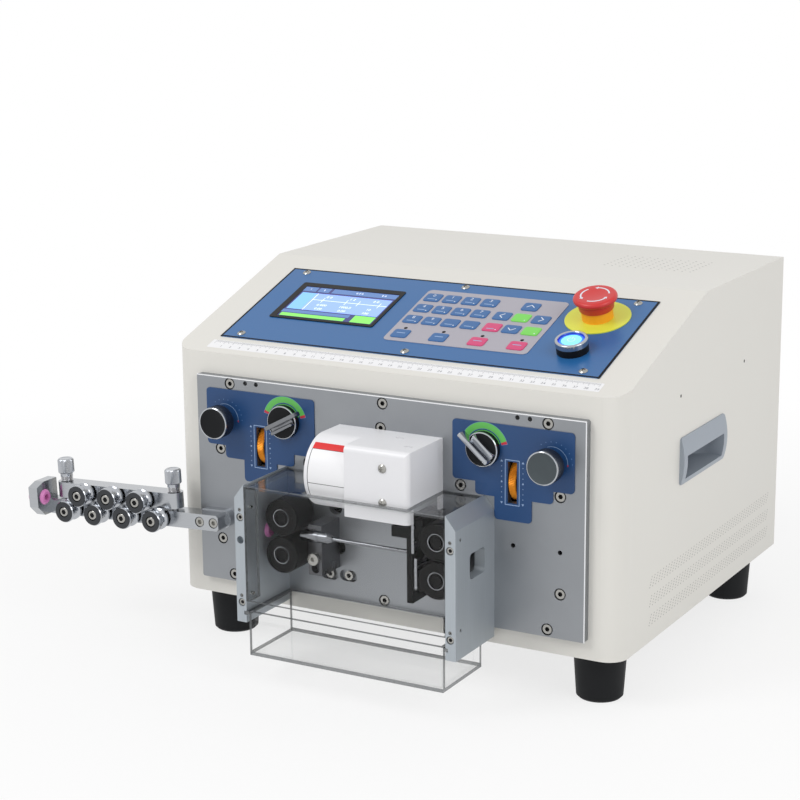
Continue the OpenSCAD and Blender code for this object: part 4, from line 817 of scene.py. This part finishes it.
class MACHINE_OT_stop_and_power(bpy.types.Operator):
    """Emergency-stop head with its turning arrows, and the lit power button in its ring"""

    bl_idname = "wire_machine.stop_and_power"
    bl_label = "Stop and power"

    def stop(self):
        """A skirt under a rolled rim, a flat and a dish of height 92.6 - sqrt(80^2 - r^2)."""
        plane, top = SLOPE_PLANE.at(*STOP_AT, 10.2), 13.5
        low, high = top - 0.3, top + 0.05
        dish = [(r, 92.6 - math.sqrt(80**2 - r * r)) for r in (12, 9, 6, 3, 0)]
        skirt = (0, 5.3), (14.6, 5.3), (14.6, 0), (15.4, 0), (15.8, 0.6)
        head = Shape().turn(plane, 96, ("stop_red", *skirt, *roll(17, 10.5, 3, -102, 90, 14), *dish))
        for start in (20, 140, 260):
            t = np.radians(np.linspace(start, start + 80, 14))
            rows = [(12.0, low), (13.4, low), (13.4, high), (12.0, high)]
            head.add(strip([plane.put(r * np.cos(t), r * np.sin(t), h) for r, h in rows]), "print_white_and_glint")
            r, lead = np.array([(10.8, -0.06), (14.6, -0.06), (12.7, 0.17)]).T
            head.add(prism(plane, r[:, None] * ray(lead + math.radians(start + 82)), low, high), "print_white_and_glint")
        head.instead("stop_head", "stop_red", "estop_head")

    def power(self):
        """A black base and a bright rolled ring; the lens inside is a dome of radius 60."""
        plane, n = SLOPE_PLANE.at(*POWER_AT), 72
        bore, well = 8.05, 11.9
        base = (bore, -20), (11, -20), (11, 0), (14.4, 0), (14.4, 5.8), (13.9, 6.1), (13.9, 6.4)
        bright = (14.7, 6.9), *roll(13.6, 11.2, 1.1, 0, 90), (12.2, 12.3), (well, 12.0), (well, 9.0)
        inside = (well, 1.5), (bore, 1.5), base[0]
        ring = Shape()
        ring.turn(plane, n, ("black_plastic", *base), ("chrome", *bright), ("lens_edge", *inside), ends=False)
        ring.piece("power_ring", "chrome", replaces="power_bezel")

        def dome(*radii):
            return [(r, math.sqrt(60**2 - r * r) - 48.8) for r in radii]

        stem = (0, -16), (8, -16), (8, 3.8), (11.6, 3.8)
        lens = Shape().turn(plane, n, ("lens_edge", *stem, *dome(11.6, 11.0, 10.4)), ("button_blue", *dome(9.7, 9.0)),
                            ("lens_core", *dome(6, 3, 0)))
        lens.add(prism(plane, arc_band(2.9, 3.6, 115, 425, 30), 10.9, 11.16), "print_white_and_glint")
        lens.add(prism(plane, bar(0, 3.1, 0.75, 3.2), 10.9, 11.17), "print_white_and_glint")
        lens.instead("power_lens", "button_blue", "power_button")

    def execute(self, context):
        self.stop()
        self.power()
        return {"FINISHED"}


class MACHINE_OT_dials(bpy.types.Operator):
    """Dial prints, pressure knobs, lift levers and thumbwheels"""

    bl_idname = "wire_machine.dials"
    bl_label = "Dials"

    def prints(self, side, m):
        """Scales printed on one dial plate: arcs and dots round the lever and the knob, and a frame round the wheel."""
        face = FRONT.at(0, 0, -DIAL_Y)
        lever, knob, slot = (face.at(m * at[0], at[-1]) for at in (LEVER, KNOB, WHEEL))
        marks = Shape()

        def ink(plane, outline, tint, lift=0.05):
            marks.add(prism(plane, outline, -0.2, lift), tint)

        ink(lever, arc_band(17.1, 23.3, 14.6, 165.4, 48), "print_faint", 0.03)
        for a0, a1, tint in ((15.5, 22, "print_red"), (22, 158, "print_green"), (158, 164.5, "print_red")):
            ink(lever, arc_band(17.4, 23.0, a0, a1, 36), tint, 0.06)
        ink(lever, arc_band(12.4, 16.2, 20, 160, 36), "print_green", 0.06)
        ink(knob, arc_band(14.0, 14.35, 0, 112, 36), "print_light")
        ink(knob, arc_band(13.7, 14.7, -7, 0, 6), "print_red", 0.06)
        for a in np.radians(2 + 15.5 * np.arange(9)):
            ink(knob.at(18.4 * math.cos(a), 18.4 * math.sin(a)), circle(0.45, 10), "print_faint")
        for x, y, w, h in ((0, 20, 14.0, 0.6), (0, -20, 14.0, 0.6), (6.7, 0, 0.6, 39.4), (-6.7, 0, 0.6, 39.4)):
            ink(slot, bar(x, y, w, h), "print_light")
        for x in (-10.2, 10.2):
            for i in range(1, 8):
                ink(slot.at(x, -18.6 + i * 4.65), circle(0.8 if i == 4 else 0.42, 10), "print_light")
            for way in (-1, 1):
                ink(slot.at(x, way * 18.6), way * np.array([[-1.2, -0.8], [1.2, -0.8], [0, 1.2]]), "print_light")
        marks.piece(f"{side}_dial_prints", "dial_blue")

    def knob(self, side, m, face_finish_by_light):
        """A knurled drum with a bright rim and a dished face on its shaft; the face's finish is given per side, a
        lighter grey on the rear as painted light.
        """
        sizes = bpy.context.scene.wire_machine_sizes
        knurl = teeth(15.0, sizes.knurl / MM, sizes.teeth)
        Shape().turn(
            FRONT.at(m * KNOB[0], KNOB[1]), len(knurl),
            ("bright_steel", (4, -22), (4, 15.2)),
            ("satin_dark", (13.4, 15.0), (14.7, 16.0), (knurl, 16.6), (knurl, 26.4), (14.6, 27.0)),
            ("chrome", (14.9, 27.6), (14.8, 28.5), (14.2, 29.0), (13.7, 28.8)),
            (face_finish_by_light, (13.0, 28.5), (6, 28.3)),
        ).instead(f"{side}_knob", "black_plastic", f"{side}_pressure_knob")

    def lever(self, side, m, angle, ridge_metal_by_light):
        """A black disc with a bright rim, a tall and a low polished ridge, and a channel between them; the ridges'
        metal is given per side, darker on the front as painted shade.
        """
        plane = FRONT.at(m * LEVER[0], LEVER[1])
        arm = Shape().turn(
            plane, 72,
            ("black_plastic", (0, -16), (4.5, -16), (4.5, 8.1), (15.2, 8.1), (15.5, 8.4), (15.5, 12.9)),
            ("chrome", (15.4, 13.6), (15.0, 14.0), (14.5, 14.1)),
            ("black_plastic", (8, 14.08), (0, 14.05)))
        turned = plane.turned(-math.radians(angle))
        for x, y, w, h, top in ((-4.5, -1, 36, 4, 23.1), (0, 5.5, 25, 3, 19.1), (0, 2.5, 25, 5, 15.6)):
            soft = ((0, 13.9), (0, top - 0.8), (0.4, top - 0.25), (1.2, top))
            ridge = [(round_rect(w - inset, h - inset, 1.0 - inset / 2.4), z) for inset, z in soft]
            arm.add(stack(turned.at(x, y), ridge), ridge_metal_by_light)
        arm.instead(f"{side}_lever", "black_plastic", f"{side}_lift_lever")

    def wheel(self, side, m):
        """A thumbwheel: slanted teeth between two chamfers, on its axle."""
        depth = bpy.context.scene.wire_machine_sizes.wheel_knurl / MM
        x, y, z = WHEEL
        plane = Plane((m * x, y, z), (0, 1, 0), (0, 0, 1))
        tooth = teeth(20.0, depth, 84)
        slant = [(tooth @ spin(a), h) for a, h in ((0, -2.9), (0.02, -1.0), (0.04, 1.0), (0.06, 2.9))]
        profile = (3, -8.8), (3, -3.5), (19.2, -3.5), *slant, (19.2, 3.5), (3, 3.5), (3, 8.8)
        wheel = Shape().turn(plane, len(tooth), ("brass", *profile))
        wheel.instead(f"{side}_thumbwheel", "brass", f"{side}_gap_wheel")

    def execute(self, context):
        # Both sides build the same knob and lever; the rear knob face's lighter grey and the front lever ridges' darker
        # steel are painted light and shade
        for side, m, angle, face_finish_by_light, ridge_metal_by_light in (("front", -1, 152, "black_plastic", "turned_steel"),
                                                    ("rear", 1, 41, "lit_grey_face", "chrome")):
            self.prints(side, m)
            self.knob(side, m, face_finish_by_light)
            self.lever(side, m, angle, ridge_metal_by_light)
            self.wheel(side, m)
        return {"FINISHED"}


class MACHINE_OT_feed_rollers(bpy.types.Operator):
    """Toothed feed rollers with a bright ring on their faces"""

    bl_idname = "wire_machine.feed_rollers"
    bl_label = "Feed rollers"

    def roller(self, name, plane, end):
        """A shaft that ends at end behind the plate, a toothed drum, a bright ring and the sunk hub in it."""
        tooth = teeth(17, 0.18, 90)
        Shape().turn(
            plane, len(tooth),
            ("bright_steel", (5, -end), (5, 24)),
            ("roller_black", (16, 24), (tooth, 25), (tooth, 53), (16.1, 54), (7.9, 54)),
            ("chrome", (7.5, 53.9), (7.2, 52.2)),
            ("roller_black", (7.1, 51.5), (5.2, 51.5), (5.0, 52.8), (4.4, 53.0), (2.4, 53.0)),
        ).instead(f"{name}_drum", "roller_black", f"{name}_roller")

    def execute(self, context):
        for side, m in (("front", -1), ("rear", 1)):
            for level, sign, end in (("upper", 1, 16.3), ("lower", -1, 59.7)):
                self.roller(f"{side}_{level}", FRONT.at(m * FEED_X, WIRE_Z + sign * ROLLER_OFF), end)
        return {"FINISHED"}


class MACHINE_OT_straightener(bpy.types.Operator):
    """Grooved straightener rollers, their screws and the two thumb screws"""

    bl_idname = "wire_machine.straightener"
    bl_label = "Straightener"

    def rollers(self, groove):
        """The groove is a circle of radius arc cut into the barrel: at s from its middle the radius is
        r - groove + arc - sqrt(arc^2 - s^2)."""
        n, r, arc, middle = 64, 10.5, 4.8, 39
        bore, well = 3.05, 5.2
        reach = math.sqrt(arc**2 - (arc - groove) ** 2)
        cut = [(r - groove + arc - math.sqrt(arc**2 - s * s), middle + s)
               for s in np.linspace(-reach, reach, 11).tolist()]
        barrel = (bore, 31), (6, 31), (6, 32.5), (10.3, 32.5), (r, 32.8), *cut, (r, 45.6), (9.9, 46.4)
        face = (9.7, 46.9), (9.4, 47), (well, 47), (well, 44), (bore, 44), barrel[0]
        lower = [(LOWER_U + i * ROLLER_PITCH, -ROW_Z, "machine") for i in range(4)]
        upper = [(UPPER_U + i * ROLLER_PITCH, ROW_Z, "pressure_bar") for i in range(3)]
        for number, (u, z, carrier) in enumerate(lower + upper, 1):
            plane, body = ARM.at(-u, z), f"straightener_roller_{number}"
            wheel = Shape().turn(plane, n, ("chrome", *barrel), ("black_oxide", *face), ends=False)
            wheel.instead(f"{body}_wheel", "dark_steel", body)
            screw = Shape()
            hex_head(screw, plane, 4.55, 44.3, 46.9, 2.3)
            screw.piece(f"roller_screw_{number}", "bright_aluminium", carrier)

    def thumb_screw(self, side, u, knurl):
        """A stud, a stem with a few turns of thread and a knurled head."""
        grip = teeth(7.75, knurl, 48)
        turns = np.arange(16.6, 20.4, 0.9).tolist()
        thread = [place for h in turns for place in ((5.4, h), (6.0, h + 0.45))]
        crown = (6.9, 37.6), (6.2, 38.1), (4.6, 38.1), (4.2, 37.8)
        Shape().turn(
            ARM_TOP.at(-u, BAR_MID_Y), len(grip),
            ("bright_steel", (3, -12.9), (3, 16.2), (6, 16.2), *thread),
            ("chrome", (6, 23.7), (6.75, 23.7), (grip, 24.7), (grip, 36.4), *crown),
        ).instead(f"{side}_thumb_knob", "chrome", f"{side}_thumb_screw")

    def execute(self, context):
        sizes = context.scene.wire_machine_sizes
        self.rollers(sizes.groove / MM)
        for side, u in THUMB_U.items():
            self.thumb_screw(side, u, sizes.knurl / MM)
        return {"FINISHED"}


# Stage ---------------------------------------------------------------------------------------

# The camera's place, its turn, height and roll in degrees, and its lens and sensor in millimetres
CAMERA_AT = (892.98, -1552.19, 689.86)
CAMERA_TURN = (29.5148, 13.6497, -0.5282)
CAMERA_LENS, CAMERA_SENSOR = 93.847, 36
# Lamps: place, size and power; all look at LAMPS_AT
LAMPS = {"key": ((-0.9, -1.6, 2.0), 1.2, 22), "fill": ((2.0, -0.8, 1.4), 1.4, 14)}
LAMPS_AT = (0, 0, 0.2)


def seat(columns, place):
    """A matrix from three axes and a place."""
    return Matrix([[*(float(c[i]) for c in columns), float(place[i])] for i in range(3)] + [[0, 0, 0, 1]])


def seen_rays(tree):
    """1 for rays that show the background: from the camera, or by way of gloss or glass."""
    path = node(tree, "LightPath").outputs
    total = path["Is Camera Ray"]
    for name in ("Is Glossy Ray", "Is Transmission Ray"):
        step = node(tree, "Math", operation="MAXIMUM")
        join(tree, (total, step.inputs[0]), (path[name], step.inputs[1]))
        total = step.outputs[0]
    return total


class MACHINE_OT_stage(bpy.types.Operator):
    """Camera, pale floor and soft studio light"""

    bl_idname = "wire_machine.stage"
    bl_label = "Stage"

    def camera(self, scene):
        az, el, tilt = (math.radians(v) for v in CAMERA_TURN)
        back = np.array([math.sin(az) * math.cos(el), -math.cos(az) * math.cos(el), math.sin(el)])
        right = np.array([math.cos(az), math.sin(az), 0])
        up = np.cross(back, right)
        cam = bpy.data.cameras.new("camera")
        cam.lens, cam.sensor_width, cam.clip_end = CAMERA_LENS, CAMERA_SENSOR, 50
        obj = bpy.data.objects.new("camera", cam)
        columns = [math.cos(tilt) * right + math.sin(tilt) * up, math.cos(tilt) * up - math.sin(tilt) * right, back]
        obj.matrix_world = seat(columns, np.array(CAMERA_AT) * MM + TO_FRAME)
        scene.collection.objects.link(obj)
        scene.camera = obj

    def floor(self, scene):
        """A wide disc whose colour fades to the background's white away from the machine."""
        n, reach = 64, 9
        mesh = bpy.data.meshes.new("floor")
        mesh.from_pydata(np.concatenate([circle(reach, n), np.zeros((n, 1))], 1), [], [list(range(n))])
        mat = bpy.data.materials.new("floor")
        mat.use_nodes = True
        tree = mat.node_tree
        shader = tree.nodes["Principled BSDF"]
        for socket, value in (("Base Color", (0.86, 0.86, 0.86, 1)), ("Roughness", 0.9), ("Specular IOR Level", 0.0)):
            shader.inputs[socket].default_value = value
        place = node(tree, "TexCoord")
        far = node(tree, "VectorMath", operation="LENGTH")
        fade = node(tree, "MapRange", {"From Min": 0.3, "From Max": 1.0, "To Min": 0.76, "To Max": 1.0})
        share = node(tree, "Math", operation="MULTIPLY")
        white = node(tree, "Emission")
        mix = node(tree, "MixShader")
        join(tree, (place.outputs["Object"], far.inputs[0]), (far.outputs["Value"], fade.inputs["Value"]),
             (fade.outputs["Result"], share.inputs[0]), (seen_rays(tree), share.inputs[1]),
             (share.outputs[0], mix.inputs["Fac"]), (shader.outputs["BSDF"], mix.inputs[1]),
             (white.outputs["Emission"], mix.inputs[2]),
             (mix.outputs["Shader"], tree.nodes["Material Output"].inputs["Surface"]))
        mesh.materials.append(mat)
        obj = bpy.data.objects.new("floor", mesh)
        scene.collection.objects.link(obj)

    def world(self, scene):
        """White where it is seen, and a plain 0.62 as light."""
        world = bpy.data.worlds.new("studio")
        scene.world = world
        world.use_nodes = True
        tree = world.node_tree
        back = tree.nodes["Background"]
        back.inputs["Color"].default_value = (1, 1, 1, 1)
        level = node(tree, "MapRange", {"To Min": 0.62, "To Max": 1.0})
        join(tree, (seen_rays(tree), level.inputs["Value"]), (level.outputs["Result"], back.inputs["Strength"]))

    def lamp(self, scene, name, place, size, power):
        light = bpy.data.lights.new(name, "AREA")
        light.shape, light.size, light.energy = "DISK", size, power
        obj = bpy.data.objects.new(name, light)
        way = np.array(place) - np.array(LAMPS_AT)
        way = way / np.linalg.norm(way)
        side = np.cross((0, 0, 1.0), way)
        side = side / np.linalg.norm(side)
        obj.matrix_world = seat([side, np.cross(way, side), way], place)
        scene.collection.objects.link(obj)

    def execute(self, context):
        scene = context.scene
        scene.view_settings.view_transform = "Standard"
        self.camera(scene)
        self.floor(scene)
        self.world(scene)
        for name, settings in LAMPS.items():
            self.lamp(scene, name, *settings)
        return {"FINISHED"}


class MACHINE_PT_panel(bpy.types.Panel):
    """Lists the steps and what can be changed."""

    bl_idname = "MACHINE_PT_panel"
    bl_label = "Wire machine"
    bl_space_type = "VIEW_3D"
    bl_region_type = "UI"
    bl_category = "Wire machine"

    def draw(self, context):
        for step in STEPS:
            self.layout.operator(step.bl_idname)
        for group in (context.scene.wire_machine_colours, context.scene.wire_machine_sizes):
            for name in group.__annotations__:
                self.layout.prop(group, name)


STEPS = (MACHINE_OT_stage, MACHINE_OT_finishes, MACHINE_OT_housing, MACHINE_OT_wire_box, MACHINE_OT_control_panel,
         MACHINE_OT_stop_and_power, MACHINE_OT_dials, MACHINE_OT_feed_rollers, MACHINE_OT_straightener)
CLASSES = (WireMachineColours, WireMachineSizes, *STEPS, MACHINE_PT_panel)


def register():
    for cls in CLASSES:
        bpy.utils.register_class(cls)
    bpy.types.Scene.wire_machine_colours = PointerProperty(type=WireMachineColours)
    bpy.types.Scene.wire_machine_sizes = PointerProperty(type=WireMachineSizes)


def unregister():
    del bpy.types.Scene.wire_machine_sizes
    del bpy.types.Scene.wire_machine_colours
    for cls in reversed(CLASSES):
        bpy.utils.unregister_class(cls)


def main():
    register()
    for step in STEPS:
        group, name = step.bl_idname.split(".")
        getattr(getattr(bpy.ops, group), name)()


if __name__ == "__main__":
    main()
